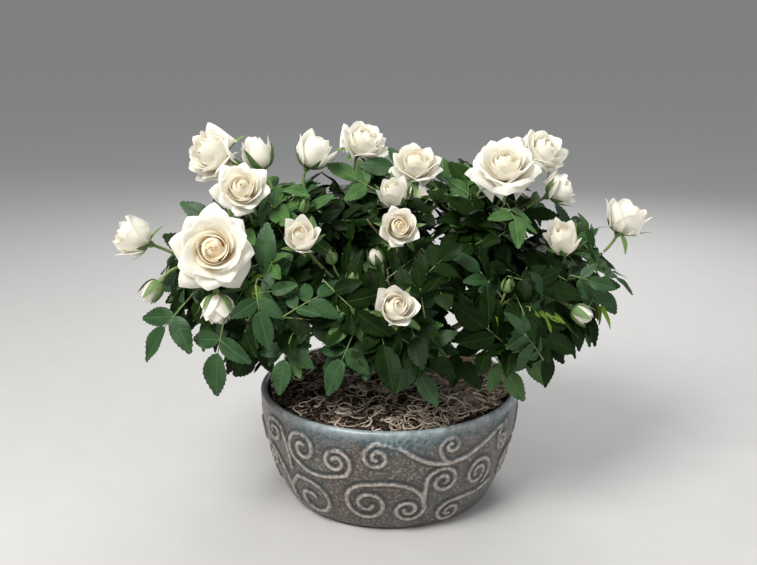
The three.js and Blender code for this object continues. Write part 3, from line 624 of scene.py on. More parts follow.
# %% The bowl
RIM_RADIUS = 102.5
BASE_RADIUS = 79
BOWL_HEIGHT = 88
BOWL_SWELL = 0.72
WALL = 6
FLOOR = 8
HEEL_IN = 2
HEEL_ROUND = 2.4
EDGE_RISE = 3
WALL_ROWS = 98
BOWL_SIDES = 640
RIB_HALF = 2.4
RIB_RISE = 1.8
RIB_POINTED = 1.1
RIB_NEAR = 3 * RIB_HALF
POOL_AWAY = 1.15 * RIB_HALF
POOL_HALF = 0.8 * RIB_HALF
POOL_LEVEL = 0.65
POOL_LEAST = 0.35
POOL_MOST = 1.5


def bowl_radius(height):
    """The outside of the bowl at a height."""
    rise = np.sin(math.pi / 2 * np.clip(height / BOWL_HEIGHT, 0, 1)) ** BOWL_SWELL
    return BASE_RADIUS + (RIM_RADIUS - BASE_RADIUS) * rise


def bowl_profile():
    """(radius, height) from the middle of the foot round the lip to the middle of the inside."""
    foot = [(0, 0), (BASE_RADIUS - 12, 0), (BASE_RADIUS - 4, 0)]
    turns = np.radians(np.linspace(-90, -25, 6))
    middle = BASE_RADIUS - HEEL_IN
    heel = [(middle + HEEL_ROUND * math.cos(a), HEEL_ROUND + HEEL_ROUND * math.sin(a)) for a in turns]
    top = BOWL_HEIGHT - EDGE_RISE
    wall = [(bowl_radius(h), h) for h in np.linspace(EDGE_RISE, top, WALL_ROWS)]
    turns = np.radians(np.linspace(15, 165, 12))
    middle = RIM_RADIUS - WALL / 2
    lip = [(middle + WALL / 2 * math.cos(a), top + EDGE_RISE * math.sin(a)) for a in turns]
    inside = [(bowl_radius(h) - WALL, h) for h in np.linspace(top, FLOOR + WALL, 12)]
    return np.array([*foot, *heel, *wall, *lip, *inside, (BASE_RADIUS - WALL - 8, FLOOR), (0, FLOOR)])


tree_of_scrolls = kdtree.KDTree(sum(len(line) for line in strokes))
scroll_points = np.concatenate(strokes)
turns = scroll_points[:, 0] / WALL_RADIUS
radii = bowl_radius(scroll_points[:, 1])
scroll_places = np.stack([radii * np.sin(turns), -radii * np.cos(turns), scroll_points[:, 1]], 1)
for i, spot in enumerate(scroll_places):
    tree_of_scrolls.insert(spot, i)
tree_of_scrolls.balance()

profile = bowl_profile()
outward = unit(np.gradient(profile, axis=0))
outward = np.stack([outward[:, 1], -outward[:, 0]], 1)
turns = np.arange(BOWL_SIDES) * FULL_TURN / BOWL_SIDES
round_way = np.stack([np.sin(turns), -np.cos(turns)], 1)
rings = np.empty((len(profile), BOWL_SIDES, 3))
rib = np.zeros(rings.shape[:2])
pool = np.zeros(rings.shape[:2])
inner = np.zeros(rings.shape[:2])
for row, ((radius, height), (out_flat, out_up)) in enumerate(zip(profile, outward)):
    on_wall = EDGE_RISE < height < BOWL_HEIGHT - 2 and radius >= bowl_radius(height) - 0.01
    spots = np.column_stack([round_way * radius, np.full(BOWL_SIDES, height)])
    inner[row] = radius < bowl_radius(height) - WALL / 2 and height > FLOOR - 1
    if on_wall:
        for column, spot in enumerate(spots):
            nearest, _, away = tree_of_scrolls.find(spot)
            if away < RIB_NEAR:
                rib[row, column] = max(0, 1 - (away / RIB_HALF) ** 2) ** RIB_POINTED
                above = POOL_LEVEL + (spot[2] - nearest[2]) / RIB_HALF
                above = np.clip(above, POOL_LEAST, POOL_MOST)
                beside = max(0, 1 - abs(away - POOL_AWAY) / POOL_HALF)
                pool[row, column] = min(1, above * beside)
    lift = rib[row][:, None] * RIB_RISE
    rings[row] = spots + np.column_stack([round_way * out_flat, np.full(BOWL_SIDES, out_up)]) * lift

bowl_pile = Pile("rib", "pool", "inner")
bowl_pile.add(rings, sheet_faces(len(profile), BOWL_SIDES, closed=True),
              rib=rib.ravel(), pool=pool.ravel(), inner=inner.ravel())
print("bowl points:", bowl_pile.count)

# %% [markdown]
# The glaze is a quiet brown that breaks to a green grey in broad clouds, with pale flecks where
# it crystallised. It ran off the tops of the ribs, which show the pale clay slip, and pooled dark
# teal beside them. A second, pale blue glaze was brushed on the rim and ends in a ragged band, with
# a patchy painted highlight along the lip. The bowl is browner at its sides; painted shade darkens
# it towards the foot and turns the left of the rim brown. All of this is worked out from the place
# on the bowl, the marks and noise, and each layer is blended over the last.

# %% The glaze
BROWN_LOW = (0.054, 0.034, 0.025)
BROWN_HIGH = (0.090, 0.063, 0.049)
GREEN_GREY = (0.073, 0.075, 0.064)
GRIT_TONE = (0.028, 0.027, 0.025)
FLECK_TONE = (0.31, 0.315, 0.29)
SLIP_PALE = (0.46, 0.41, 0.365)
SLIP_DARK = (0.14, 0.12, 0.10)
POOLED_TEAL = (0.007, 0.015, 0.018)
RIM_BLUE = (0.21, 0.275, 0.295)
RIM_DARK = (0.042, 0.066, 0.073)
LIP_DULL = (0.20, 0.235, 0.24)
LIP_HIGHLIGHT = (0.40, 0.48, 0.50)
LEFT_RIM_SHADE = (0.13, 0.088, 0.068)
INSIDE_DARK = (0.015, 0.032, 0.036)
INSIDE_TEAL = (0.05, 0.085, 0.09)
CLOUD_SIZE = 48
FLECK_SIZE = 2.1
GRIT_SIZE = 3.2
EDGE_SIZE = 60
LIP_PATCH_SIZE = 14
FLECK_RELIEF = 0.14

glaze, tree, shader = finish("speckled_glaze", (0.13, 0.13, 0.125), 0.4, Coat_Weight=0.15,
                             Coat_Roughness=0.3)
spot = node(tree, "ShaderNodeSeparateXYZ", {"Vector": place(tree)})
aside, height = spot.outputs["X"], spot.outputs["Z"]
fleck = noise(tree, FLECK_SIZE, detail=3, roughness=0.65)
grit = noise(tree, GRIT_SIZE, detail=5, roughness=0.75)

# The body is brown, darker towards the foot as painted shade, greener in clouds near the middle,
# gritty and flecked.
green_share = between(tree, sum_of(tree, "ABSOLUTE", aside), 0.055, 0.1, 1, 0.15)
cloud = between(tree, noise(tree, CLOUD_SIZE, detail=2), 0.43, 0.66)
cloud = sum_of(tree, "MULTIPLY", cloud, green_share)
# Painted shade: the body darkens towards the foot.
body = blend(tree, between(tree, height, 0.005, 0.05), BROWN_LOW, BROWN_HIGH)
body = blend(tree, cloud, body, GREEN_GREY)
body = blend(tree, between(tree, grit, 0.5, 0.64, 0, 0.85), body, GRIT_TONE)
body = blend(tree, between(tree, fleck, 0.5, 0.68, 0, 0.7), body, FLECK_TONE)

# The ribs show slip on their tops, with dark glaze pooled beside them.
slip = blend(tree, between(tree, grit, 0.42, 0.68), SLIP_PALE, SLIP_DARK)
worn = sum_of(tree, "ADD", mark(tree, "rib"), between(tree, grit, 0.3, 0.7, 0.2, -0.2))
body = blend(tree, between(tree, worn, 0.35, 0.9, 0, 0.92), body, slip)
dark = sum_of(tree, "MULTIPLY", mark(tree, "pool"), between(tree, grit, 0.25, 0.6, 1, 0.7))
body = blend(tree, dark, body, POOLED_TEAL)

# The band on the rim has a ragged lower edge, a patchy painted highlight at the lip
# and painted shade on the left.
ragged = between(tree, grit, 0.25, 0.75, -0.012, 0.012)
swinging = between(tree, noise(tree, EDGE_SIZE, detail=1), 0.35, 0.65, -0.008, 0.006)
edge = sum_of(tree, "ADD", sum_of(tree, "ADD", height, ragged), swinging)
# Painted highlight: the lip line is paler in patches.
lip_highlight_patches = between(tree, noise(tree, LIP_PATCH_SIZE, detail=4, roughness=0.7), 0.4, 0.62)
lip = blend(tree, lip_highlight_patches, LIP_DULL, LIP_HIGHLIGHT)
band = blend(tree, between(tree, grit, 0.4, 0.56), RIM_BLUE, RIM_DARK)
band = blend(tree, between(tree, height, 0.081, 0.087), band, lip)
# Painted shade: the left of the rim darkens to a brown.
band = blend(tree, between(tree, aside, -0.098, -0.06, 0.75, 0), band, LEFT_RIM_SHADE)
body = blend(tree, between(tree, edge, 0.071, 0.085, 0, 0.95), body, band)

inside = blend(tree, fleck, INSIDE_DARK, INSIDE_TEAL)
paint(tree, shader, blend(tree, mark(tree, "inner"), body, inside))
tree.links.new(between(tree, grit, 0.3, 0.75, 0.26, 0.5), shader.inputs["Roughness"])
rough_relief(tree, shader, fleck, FLECK_RELIEF)
bowl_pile.piece("glazed_bowl", "glaze", [glaze], ["bowl"])
print("bowl triangles:", bowl_pile.triangles)

# %% [markdown]
# The filling is seen only as curled dry moss over dark soil. The soil keeps its solid and gets a
# crumbly finish. The bed under the moss is a lumpy sheet, so that no hole between the fibres looks
# down on a flat floor: it is a low heap that falls to the wall, with a few soft waves round it.

# %% The soil and the bed under the moss
SOIL_TOP = 72
MOSS_EDGE = 82
MOSS_MIDDLE = 91
MOSS_FROM_WALL = 1.2
MOSS_FROM_CROWN = 1.5
HEAP_STEEPNESS = 0.6
LUMP_HEIGHT = 1.8
LUMPS_ROUND = (5, 3)
LUMPS_LEAN = (13, 17)
BED_SINK = 5
BED_ROUGHNESS = 0.5
BED_RINGS = 30
BED_SIDES = 120
MOSS_SEED = 7
CRUMB_SIZE = 5
CRUMB_RELIEF = 2

soil_finish, tree, shader = finish("dark_soil", (0.03, 0.02, 0.014), 0.95)
crumbs = noise(tree, CRUMB_SIZE, detail=8, roughness=0.7)
paint(tree, shader, blend(tree, crumbs, (0.012, 0.008, 0.006), (0.06, 0.042, 0.03)))
rough_relief(tree, shader, crumbs, CRUMB_RELIEF)
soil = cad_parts["potting_soil"]
soil.data.materials.clear()
soil.data.materials.append(soil_finish)

rng = np.random.default_rng(MOSS_SEED)
edge_radius = bowl_radius(MOSS_EDGE) - WALL - MOSS_FROM_WALL
hole_radius = CROWN_FOOT_RADIUS + MOSS_FROM_CROWN


def moss_height(radius, turn):
    """The middle of the moss: a low heap with soft lumps that falls to the wall."""
    share = np.clip((edge_radius - radius) / (edge_radius - hole_radius), 0, 1)
    lumps = np.sin(LUMPS_ROUND[0] * turn + radius / LUMPS_LEAN[0])
    lumps = lumps * np.cos(LUMPS_ROUND[1] * turn - radius / LUMPS_LEAN[1])
    return mix(MOSS_EDGE + 1, MOSS_MIDDLE, share ** HEAP_STEEPNESS) + LUMP_HEIGHT * lumps


bed_radii = np.linspace(hole_radius, edge_radius, BED_RINGS)
bed_turns = np.linspace(0, FULL_TURN, BED_SIDES, endpoint=False)
radius_grid, turn_grid = np.meshgrid(bed_radii, bed_turns, indexing="ij")
bed_height = moss_height(radius_grid, turn_grid) - BED_SINK
bed_height = bed_height + rng.normal(0, BED_ROUGHNESS, radius_grid.shape)
bed_height[0] = bed_height[-1] = SOIL_TOP + 1
bed_points = [radius_grid * np.cos(turn_grid), radius_grid * np.sin(turn_grid), bed_height]
bed = Pile()
bed.add(np.stack(bed_points, -1), sheet_faces(BED_RINGS, BED_SIDES, closed=True))
bed.piece("moss_bed", "soil", [soil_finish])
print("bed triangles:", bed.triangles)

# %% [markdown]
# The moss itself is nearly a thousand springy fibres. Each one is a short walk that keeps turning
# the same way for a while, so it curls, and it is lifted off the bed a little at random. Tubes of
# four sides are enough at a thickness of one millimetre. The fibres come in layers from the bed
# upwards: brown ones lie deep, pale dry ones on top, and as painted shade there are more brown
# ones on the left and fewer on the right.

# %% The curled moss
FIBRES = 970
FIBRE_STEP = 2.5
FIBRE_LENGTHS = (30, 85)
FIBRE_RADII = (0.42, 0.8)
FIBRE_TIP = 0.65
FIBRE_SIDES = 4
FIBRE_FROM_EDGE = 3
LOOP_RADII = (3.2, 8)
LIFT_DEEP = -3.5
LIFT_TOP = 2.0
STRAY_LIFT = 4
SWINGS = (1.5, 6)
SWING_DEEP = 0.25
WAVE_PACES = (0.16, 0.34)
TURNS_BACK = 0.08
CURL_VARIES = (0.1, 1.9)
DEEP_LAYERS = 0.6
PAINTED_SHADE_PLACES = (-75, -10, 65)
BROWN_DEEP = (0.9, 0.75, 0.3)
BROWN_TOP = (0.5, 0.05, 0.0)
GREY_DEEP = 0.15
GREY_TOP = 0.47
MOSS_PATCH_SIZE = 7
MOSS_GRAIN = 0.6
MOSS_RELIEF = 0.2


def moss_finish(name, pale, dull):
    """Dry fibre: pale where it catches light, duller in patches, quite matte."""
    made, tree, shader = finish(name, pale, 0.8)
    patch = between(tree, noise(tree, MOSS_PATCH_SIZE, detail=4), 0.38, 0.68)
    paint(tree, shader, blend(tree, patch, pale, dull))
    rough_relief(tree, shader, noise(tree, MOSS_GRAIN, detail=2), MOSS_RELIEF)
    return made


moss_finishes = [
    moss_finish("moss_tan", (0.62, 0.50, 0.37), (0.36, 0.26, 0.18)),
    moss_finish("moss_grey", (0.82, 0.74, 0.62), (0.58, 0.48, 0.375)),
    moss_finish("moss_brown", (0.12, 0.078, 0.05), (0.055, 0.035, 0.024)),
]


def moss_deal(layer, across):
    """How likely a tan, a grey and a brown fibre are in a layer, so far to the right; more brown on the
    left is painted shade.
    """
    deep = layer < DEEP_LAYERS
    # Painted shade: the brown share falls from left to right.
    brown = np.interp(across, PAINTED_SHADE_PLACES, BROWN_DEEP if deep else BROWN_TOP)
    grey = GREY_DEEP if deep else GREY_TOP
    return np.array([(1 - brown) * (1 - grey), (1 - brown) * grey, brown])


def fibre(rng, layer):
    """One curled fibre as a line of points. layer runs from 0, deep in the bed, to 1 on top."""
    steps = int(rng.uniform(*FIBRE_LENGTHS) / FIBRE_STEP)
    nearest, farthest = hole_radius + FIBRE_FROM_EDGE, edge_radius - FIBRE_FROM_EDGE
    radius = math.sqrt(rng.uniform(nearest ** 2, farthest ** 2))
    turn = rng.uniform(0, FULL_TURN)
    spot = np.array([radius * math.cos(turn), radius * math.sin(turn)])
    heading = rng.uniform(0, FULL_TURN)
    loop = rng.uniform(*LOOP_RADII)
    curl = rng.choice([-1, 1]) / loop
    lift = mix(LIFT_DEEP, LIFT_TOP, layer) + abs(rng.normal(0, STRAY_LIFT)) * layer ** 3
    swing = rng.uniform(*SWINGS) * mix(SWING_DEEP, 1, layer)
    wave = rng.uniform(0, FULL_TURN)
    pace = rng.uniform(*WAVE_PACES)
    line = []
    for i in range(steps + 1):
        far = np.hypot(*spot)
        held = spot * np.clip(far, hole_radius + MOSS_FROM_CROWN, edge_radius - MOSS_FROM_WALL) / far
        top = moss_height(np.hypot(*held), math.atan2(held[1], held[0]))
        line.append([*held, top + lift + swing * math.sin(wave + i * pace)])
        if rng.random() < TURNS_BACK:
            curl = -curl
        heading += curl * FIBRE_STEP * rng.uniform(*CURL_VARIES)
        spot = held + FIBRE_STEP * np.array([math.cos(heading), math.sin(heading)])
    return line


moss = Pile()
for i in range(FIBRES):
    layer = i / FIBRES
    line = fibre(rng, layer)
    radii = rng.uniform(*FIBRE_RADII) * np.linspace(1, FIBRE_TIP, len(line))
    kind = rng.choice(len(moss_finishes), p=moss_deal(layer, line[0][0]))
    moss.add(*tube(line, radii, FIBRE_SIDES), finish_number=kind)
moss.piece("curled_moss", "moss", moss_finishes, ["moss_mat"])
print("moss triangles:", moss.triangles)

# %% [markdown]
# The crown is the knobbly foot from which all canes rise, and the canes are green wood that turns
# brown with age, with a leaf scar every few centimetres and a few hooked prickles. Each is a tube
# whose radius is changed point by point: long ridges, scars and a swollen foot. Relief in the mesh
# holds from every side, and the finish adds only the finest grain.

# %% Crown and canes
CANE_FOOT_RADIUS = 3
CANE_TIP_RADIUS = 2.2
CANE_RING = 14
CANE_ROW_GAP = 1.6
SCAR_GAP = 23
FIRST_SCAR = 4
SCAR_RISE = 0.14
SCAR_LENGTH = 3
FOOT_SWELL = 0.35
FOOT_LENGTH = 3
RIDGES = 3
RIDGE_RISE = 0.05
RIDGE_WINDS = 9
CANE_ROUGHNESS = 0.03
CROWN_ROWS = 26
CROWN_RING = 40
CROWN_SLOPE = 14
CROWN_FLAT_TOP = 0.96
KNOBS = 5
KNOB_RISE = 0.045
KNOB_HEIGHT = 4
CROWN_ROUGHNESS = 0.012
BARK_PATCH_SIZE = 14
BARK_RELIEF = 0.25
BARK_SHADE = 0.45


def bark_finish(name, green, brown, grain=1.6):
    """Stem skin: green with brown patches, and darker specks as fine as the grain."""
    made, tree, shader = finish(name, green, 0.6)
    patch = noise(tree, BARK_PATCH_SIZE, detail=5, roughness=0.65)
    fine = noise(tree, grain, detail=3)
    skin = blend(tree, between(tree, patch, 0.4, 0.62), green, brown)
    speck = tuple(c * BARK_SHADE for c in brown)
    paint(tree, shader, blend(tree, between(tree, fine, 0.45, 0.75, 0, 0.5), skin, speck))
    rough_relief(tree, shader, fine, BARK_RELIEF)
    return made


def waves_round(count, sides, lean):
    """Waves round each ring of a tube, turned on from row to row by the lean."""
    return np.sin(np.arange(sides)[None] * FULL_TURN * count / sides + lean[:, None])


cane_skin = bark_finish("cane_skin", (0.15, 0.16, 0.05), (0.16, 0.10, 0.055))
crown_skin = bark_finish("crown_bark", (0.14, 0.10, 0.065), (0.075, 0.05, 0.033), grain=2.4)

wood = Pile()
heights = np.linspace(SOIL_TOP + SEAT, CROWN_CENTRE + CROWN_RADIUS - 0.5, CROWN_ROWS)
rise = np.clip((heights - CROWN_CENTRE) / CROWN_RADIUS, 0, 1)
slope = mix(CROWN_FOOT_RADIUS, CROWN_RADIUS, np.clip((heights - SOIL_TOP) / CROWN_SLOPE, 0, 1))
dome = CROWN_RADIUS * np.sqrt(1 - rise ** 2 * CROWN_FLAT_TOP)
swell = np.where(heights > CROWN_CENTRE, dome, slope)
knobs = KNOB_RISE * waves_round(KNOBS, CROWN_RING, heights / KNOB_HEIGHT)
rough = rng.normal(0, CROWN_ROUGHNESS, knobs.shape)
crown_line = np.stack([heights * 0, heights * 0, heights], 1)
wood.add(*tube(crown_line, swell[:, None] * (0.96 + knobs + rough), CROWN_RING), finish_number=1)

for mass, (path, end_share) in canes.items():
    count = int(end_share * path.length / CANE_ROW_GAP)
    shares = np.linspace(0, end_share, count)
    base = mix(CANE_FOOT_RADIUS, CANE_TIP_RADIUS, shares / end_share)
    scars = SCAR_RISE * np.exp(-((shares * path.length % SCAR_GAP) - FIRST_SCAR) ** 2 / SCAR_LENGTH)
    foot = FOOT_SWELL * np.exp(-shares * path.length / FOOT_LENGTH)
    ridges = RIDGE_RISE * waves_round(RIDGES, CANE_RING, shares * RIDGE_WINDS)
    radii = base[:, None] * (0.97 + scars[:, None] + foot[:, None] + ridges)
    rough = rng.normal(0, CANE_ROUGHNESS, radii.shape)
    wood.add(*tube(path.at(shares), radii + rough, CANE_RING))
print("crown and canes so far:", wood.count, "points")

# %% [markdown]
# A prickle is a small flat hook that points down the stem. It is a cone of five sides bent along
# its own line, sunk a little into the skin.

# %% Prickles
PRICKLE_LENGTHS = (2, 3)
PRICKLE_USUAL = 2.4
PRICKLE_RADII = (0.62, 0.06)
PRICKLE_BEND = 0.55
PRICKLE_ROWS = 5
PRICKLE_SIDES = 5
FIRST_PRICKLE = 0.12
PRICKLE_GAP = 0.11
PRICKLE_SUNK = 0.9


def prickle(pile, spot, out, down, length):
    """One hooked prickle that stands out of a stem."""
    share = np.linspace(0, 1, PRICKLE_ROWS)[:, None]
    line = spot + out * length * share + down * length * PRICKLE_BEND * share ** 2
    radii = np.linspace(*PRICKLE_RADII, PRICKLE_ROWS) * length / PRICKLE_USUAL
    pile.add(*tube(line, radii, PRICKLE_SIDES))


for mass, (path, end_share) in canes.items():
    for share in np.arange(FIRST_PRICKLE, end_share, PRICKLE_GAP):
        point, along, across, over = path.frame(share)
        turn = rng.uniform(0, FULL_TURN)
        out = across * math.cos(turn) + over * math.sin(turn)
        foot = point + out * CANE_TIP_RADIUS * PRICKLE_SUNK
        prickle(wood, foot, out, -along, rng.uniform(*PRICKLE_LENGTHS))
stems = ["crown", *("cane_" + mass for mass in MASSES)]
wood.piece("crown_and_canes", "bark", [cane_skin, crown_skin], stems)
print("crown and cane triangles:", wood.triangles)

# %% [markdown]
# A rose petal is a shallow spoon that grows from a narrow foot. All petals of a bloom are made by
# one rule: a line from the foot to the tip says how the petal bends away from the bloom's middle,
# and the sheet is wound round the middle along that line. Three such lines, for the heart, the
# cup and the outer row, are known for a bud, a goblet and a full bloom. Any petal of any bloom lies
# between them. Lines are (distance from the middle, height), in widths of the bloom.

# %% The lines that petals follow
HEART_ROWS = 0.1
CUP_ROW = 0.45
PETAL_LINES = {
    "bud": (
        ((0.00, 0.00), (0.30, 0.20), (0.30, 0.90), (0.04, 1.42)),
        ((0.01, 0.00), (0.55, 0.10), (0.50, 0.95), (0.08, 1.48)),
        ((0.02, 0.00), (0.66, 0.05), (0.60, 0.95), (0.16, 1.52)),
    ),
    "goblet": (
        ((0.00, 0.00), (0.20, 0.12), (0.21, 0.52), (0.01, 0.76)),
        ((0.01, 0.00), (0.36, 0.02), (0.32, 0.52), (0.22, 0.82)),
        ((0.02, 0.00), (0.46, -0.02), (0.36, 0.50), (0.58, 0.72)),
    ),
    "full": (
        ((0.00, 0.00), (0.13, 0.06), (0.14, 0.33), (0.00, 0.37)),
        ((0.01, 0.00), (0.22, 0.00), (0.24, 0.30), (0.33, 0.42)),
        ((0.02, 0.00), (0.24, -0.02), (0.40, 0.25), (0.57, 0.15)),
    ),
}


def petal_line(opened, row, share):
    """Points along the line of a petal: opened is the bloom's, row runs from 0 heart to 1 outer."""
    low, high = ("bud", "goblet") if opened < 0.5 else ("goblet", "full")
    further = opened * 2 % 1 if opened < 1 else 1
    state = mix(np.array(PETAL_LINES[low]), np.array(PETAL_LINES[high]), further)
    cupped = np.clip((row - HEART_ROWS) / (CUP_ROW - HEART_ROWS), 0, 1)
    spread = np.clip((row - CUP_ROW) / (1 - CUP_ROW), 0, 1)
    controls = mix(mix(state[0], state[1], cupped), state[2], spread)
    t = np.asarray(share)[..., None]
    return ((1 - t) ** 3 * controls[0] + 3 * (1 - t) ** 2 * t * controls[1]
            + 3 * (1 - t) * t ** 2 * controls[2] + t ** 3 * controls[3])


print("outer petal of a full bloom ends at", petal_line(1, 1, 1.0).round(2))

# %% [markdown]
# The sheet of a petal is a grid. Its sides are drawn in at the foot, its top edge falls away to
# both sides of a small point, and outer petals roll their side edges back, which is what makes them
# look pointed. Each petal lies with one edge over its neighbour and the other edge under it. A mark
# keeps how warm the colour is: warmest at the foot, warm in the heart, ivory outside.

# %% One petal
PETAL_ACROSS = 13
PETAL_UP = 12

# Pairs of values: the first for a petal in the heart, the second for one in the outer row.
POINTED = (0.06, 0.62)
POINT_SHAPE = (1.5, 1.05)
HALF_WIDTH = (0.26, 0.35)
NEAREST = (0.075, 0.13)
WIDEST_ANGLE = (2.3, 0.68)
ROLLED_BACK = (0.0, 0.2)
WARM_UP_TO = (0.95, 0.42)

BUD_WIDER = 1.25
OVERLAP = 0.022
BROAD_WAVE = 0.012
FINE_WAVE = 0.008
TIP_CURL = 0.07
CURL_FROM = 0.82
TILT_STRAY = 0.05
HEART_WARMTH = 0.42
across_grid, up_grid = np.meshgrid(np.linspace(-1, 1, PETAL_ACROSS), np.linspace(0, 1, PETAL_UP))
petal_faces = sheet_faces(PETAL_UP, PETAL_ACROSS)


def petal_sheet(width, opened, row, turn, rng):
    """Points of one petal about an upright bloom of that width, and its warmth."""
    u, v = across_grid, up_grid

    # How far each point lies along the petal's line, less at the sides than at the tip.
    pointed = mix(*POINTED, row) * (0.25 + 0.75 * opened) * rng.uniform(0.8, 1.2)
    top = 1 - pointed * np.abs(u) ** mix(*POINT_SHAPE, row)
    share = v * top * rng.uniform(0.9, 1.04)
    line = petal_line(opened, row, share)
    reach, rise = line[..., 0] * width, line[..., 1] * width

    # How far round the bloom its sides come, narrow at the foot.
    half = width * mix(*HALF_WIDTH, row) * mix(BUD_WIDER, 1.0, opened)
    half = half * np.sin(np.clip(share * 1.15 + 0.06, 0, 1) * math.pi / 2) ** 0.8
    angle = half / np.maximum(reach, width * mix(*NEAREST, row))
    angle = np.minimum(angle, mix(*WIDEST_ANGLE, row))
    sweep = turn + u * angle

    # Edges that roll back, lie over the neighbour, wave and curl at the tip.
    ruffle = rng.uniform(0, FULL_TURN, 3)
    overlap = OVERLAP * width * u * (0.4 + v)
    roll = width * mix(*ROLLED_BACK, row) * opened ** 0.6 * np.abs(u) ** 2 * v ** 1.6
    roll = roll * (1 + 0.5 * np.sign(u) * math.sin(ruffle[2]))
    wave = width * BROAD_WAVE * v ** 2 * np.sin(3.2 * u + ruffle[0] + 2 * v) * (0.4 + row)
    wave = wave + width * FINE_WAVE * v ** 3 * np.sin(6 * u + ruffle[1])
    curl = width * TIP_CURL * row * opened * np.clip((v - CURL_FROM) / (1 - CURL_FROM), 0, 1) ** 1.5
    reach = reach + overlap + wave + roll * 0.1
    rise = rise - roll - curl + wave * 0.6

    points = np.stack([reach * np.cos(sweep), reach * np.sin(sweep), rise], -1)
    tilt = rng.normal(0, TILT_STRAY) * (0.3 + row)
    points[..., 2] += tilt * (points[..., 0] * math.cos(turn) + points[..., 1] * math.sin(turn))
    warmth = np.clip(1 - v / mix(*WARM_UP_TO, row), 0, 1) ** 1.3 + HEART_WARMTH * (1 - row) ** 4
    return points.reshape(-1, 3), np.clip(warmth, 0, 1).ravel()


print("triangles in a petal:", 2 * len(petal_faces))

# %% [markdown]
# Petals stand at the golden angle, from the heart outwards, as on the real flower. A bud has few
# and a full bloom about thirty. The whole bloom is made upright and then turned to the way that it
# faces, with its foot on the hip.

# %% A bloom
PETALS_SHOWN = ((0, 7), (0.25, 11), (0.5, 18), (0.8, 27), (1, 32))
ROWS_CROWD = 1.15
PETAL_TURN_STRAY = 0.1
FOOT_SUNK = 0.6
ANY_SPIN = 6
BLOOM_SEED = 100


def turn_to(facing, spin=0.0):
    """Three ways, as rows: two square to facing and facing itself."""
    facing = unit(facing)
    side = unit(np.cross([0, 0, 1.0] if abs(facing[2]) < 0.95 else [0, 1.0, 0], facing))
    third = np.cross(facing, side)
    first = side * math.cos(spin) + third * math.sin(spin)
    return np.stack([first, np.cross(facing, first), facing])


def petal_count(opened):
    """How many petals show: a tight bud hides most of them."""
    return int(np.interp(opened, *zip(*PETALS_SHOWN)))


def bloom_pile(rose, seed):
    """All petals of one bloom."""
    _, _, _, width, opened = ROSES[rose]
    rng = np.random.default_rng(seed)
    hip, faces = hip_of(rose)
    ways = turn_to(faces, rng.uniform(0, ANY_SPIN))
    foot = hip + faces * (HIP_LENGTH - FOOT_SUNK)
    pile = Pile("warmth")
    count = petal_count(opened)
    for k in range(count):
        row = (k / (count - 1)) ** ROWS_CROWD
        turn = k * GOLDEN_ANGLE + rng.normal(0, PETAL_TURN_STRAY)
        points, warmth = petal_sheet(width, opened, row, turn, rng)
        pile.add(points @ ways + foot, petal_faces, warmth=warmth)
    return pile


print("petals in all:", sum(petal_count(row[4]) for row in ROSES.values()))

# %% [markdown]
# Petals are thin enough for light to come through, so a share of a Translucent shader is mixed
# into the Principled one. The warm mark chooses between ivory, cream, a deep apricot and gold, and
# soft clouds with a very fine relief keep the white from looking like plastic. Some blooms are
# warmer in the heart than others, so there are three kinds.

# %% Petal finishes
IVORY = (0.98, 0.96, 0.885)
CREAM = (0.97, 0.91, 0.755)
APRICOT = (0.98, 0.80, 0.50)
GOLD = (0.95, 0.60, 0.17)
CLOUD_TONE = (0.945, 0.885, 0.775)
THROUGH_PETAL = 0.4
WARMTH_PATCH_SIZE = 9
PETAL_CLOUD_SIZE = 14
PETAL_GRAIN = 1.6
PETAL_RELIEF = 0.12


def petal_finish(name, cream_at, apricot_at, gold_at=1.05):
    """Petal colour by warmth; the limits say how soon a bloom turns cream, apricot and gold."""
    made, tree, shader = finish(name, IVORY, 0.52, Sheen_Weight=0.15, Specular_IOR_Level=0.3)
    patch = between(tree, noise(tree, WARMTH_PATCH_SIZE), 0.3, 0.7, -0.07, 0.07)
    warmth = sum_of(tree, "ADD", mark(tree, "warmth"), patch)
    tone = IVORY
    limits = (0.0, cream_at, apricot_at, gold_at)
    for low, high, warmer in zip(limits, limits[1:], (CREAM, APRICOT, GOLD)):
        tone = blend(tree, between(tree, warmth, low, high), tone, warmer)
    cloud = between(tree, noise(tree, PETAL_CLOUD_SIZE, detail=3), 0.35, 0.7, 0, 0.22)
    tone = blend(tree, cloud, tone, CLOUD_TONE)
    paint(tree, shader, tone)
    rough_relief(tree, shader, noise(tree, PETAL_GRAIN, detail=3), PETAL_RELIEF)
    let_light_through(tree, shader, tone, THROUGH_PETAL)
    return made


petal_kinds = [
    petal_finish("petal_ivory", 0.5, 0.95),
    petal_finish("petal_cream", 0.3, 0.7),
    petal_finish("petal_golden", 0.24, 0.43, 0.7),
]
GOLDEN_HEARTS = {"front_left_full", "middle_open", "back_full"}
CREAM_HEARTS = {"upper_left", "front_low", "top_open", "front_high", "left_back"}

petal_triangles = 0
for seed, rose in enumerate(ROSES, BLOOM_SEED):
    kind = 2 if rose in GOLDEN_HEARTS else 1 if rose in CREAM_HEARTS else 0
    pile = bloom_pile(rose, seed)
    pile.piece("bloom_" + rose, "petal", [petal_kinds[kind]], ["rose_" + rose])
    petal_triangles += pile.triangles
print("petal triangles:", petal_triangles)

# %% [markdown]
# Under each bloom sits the hip, a small green urn, with five sepals: long green tongues that held
# the bud shut and bend back once it opens. The stalk below is bare. A sepal is a narrow sheet
# folded along its middle: on a bud it hugs the outer petals, later it bends away on its own. Stalks,
# shoots and twigs are all tapering tubes along a path, so one function makes them, and one table
# says how thick and how fine each kind is.

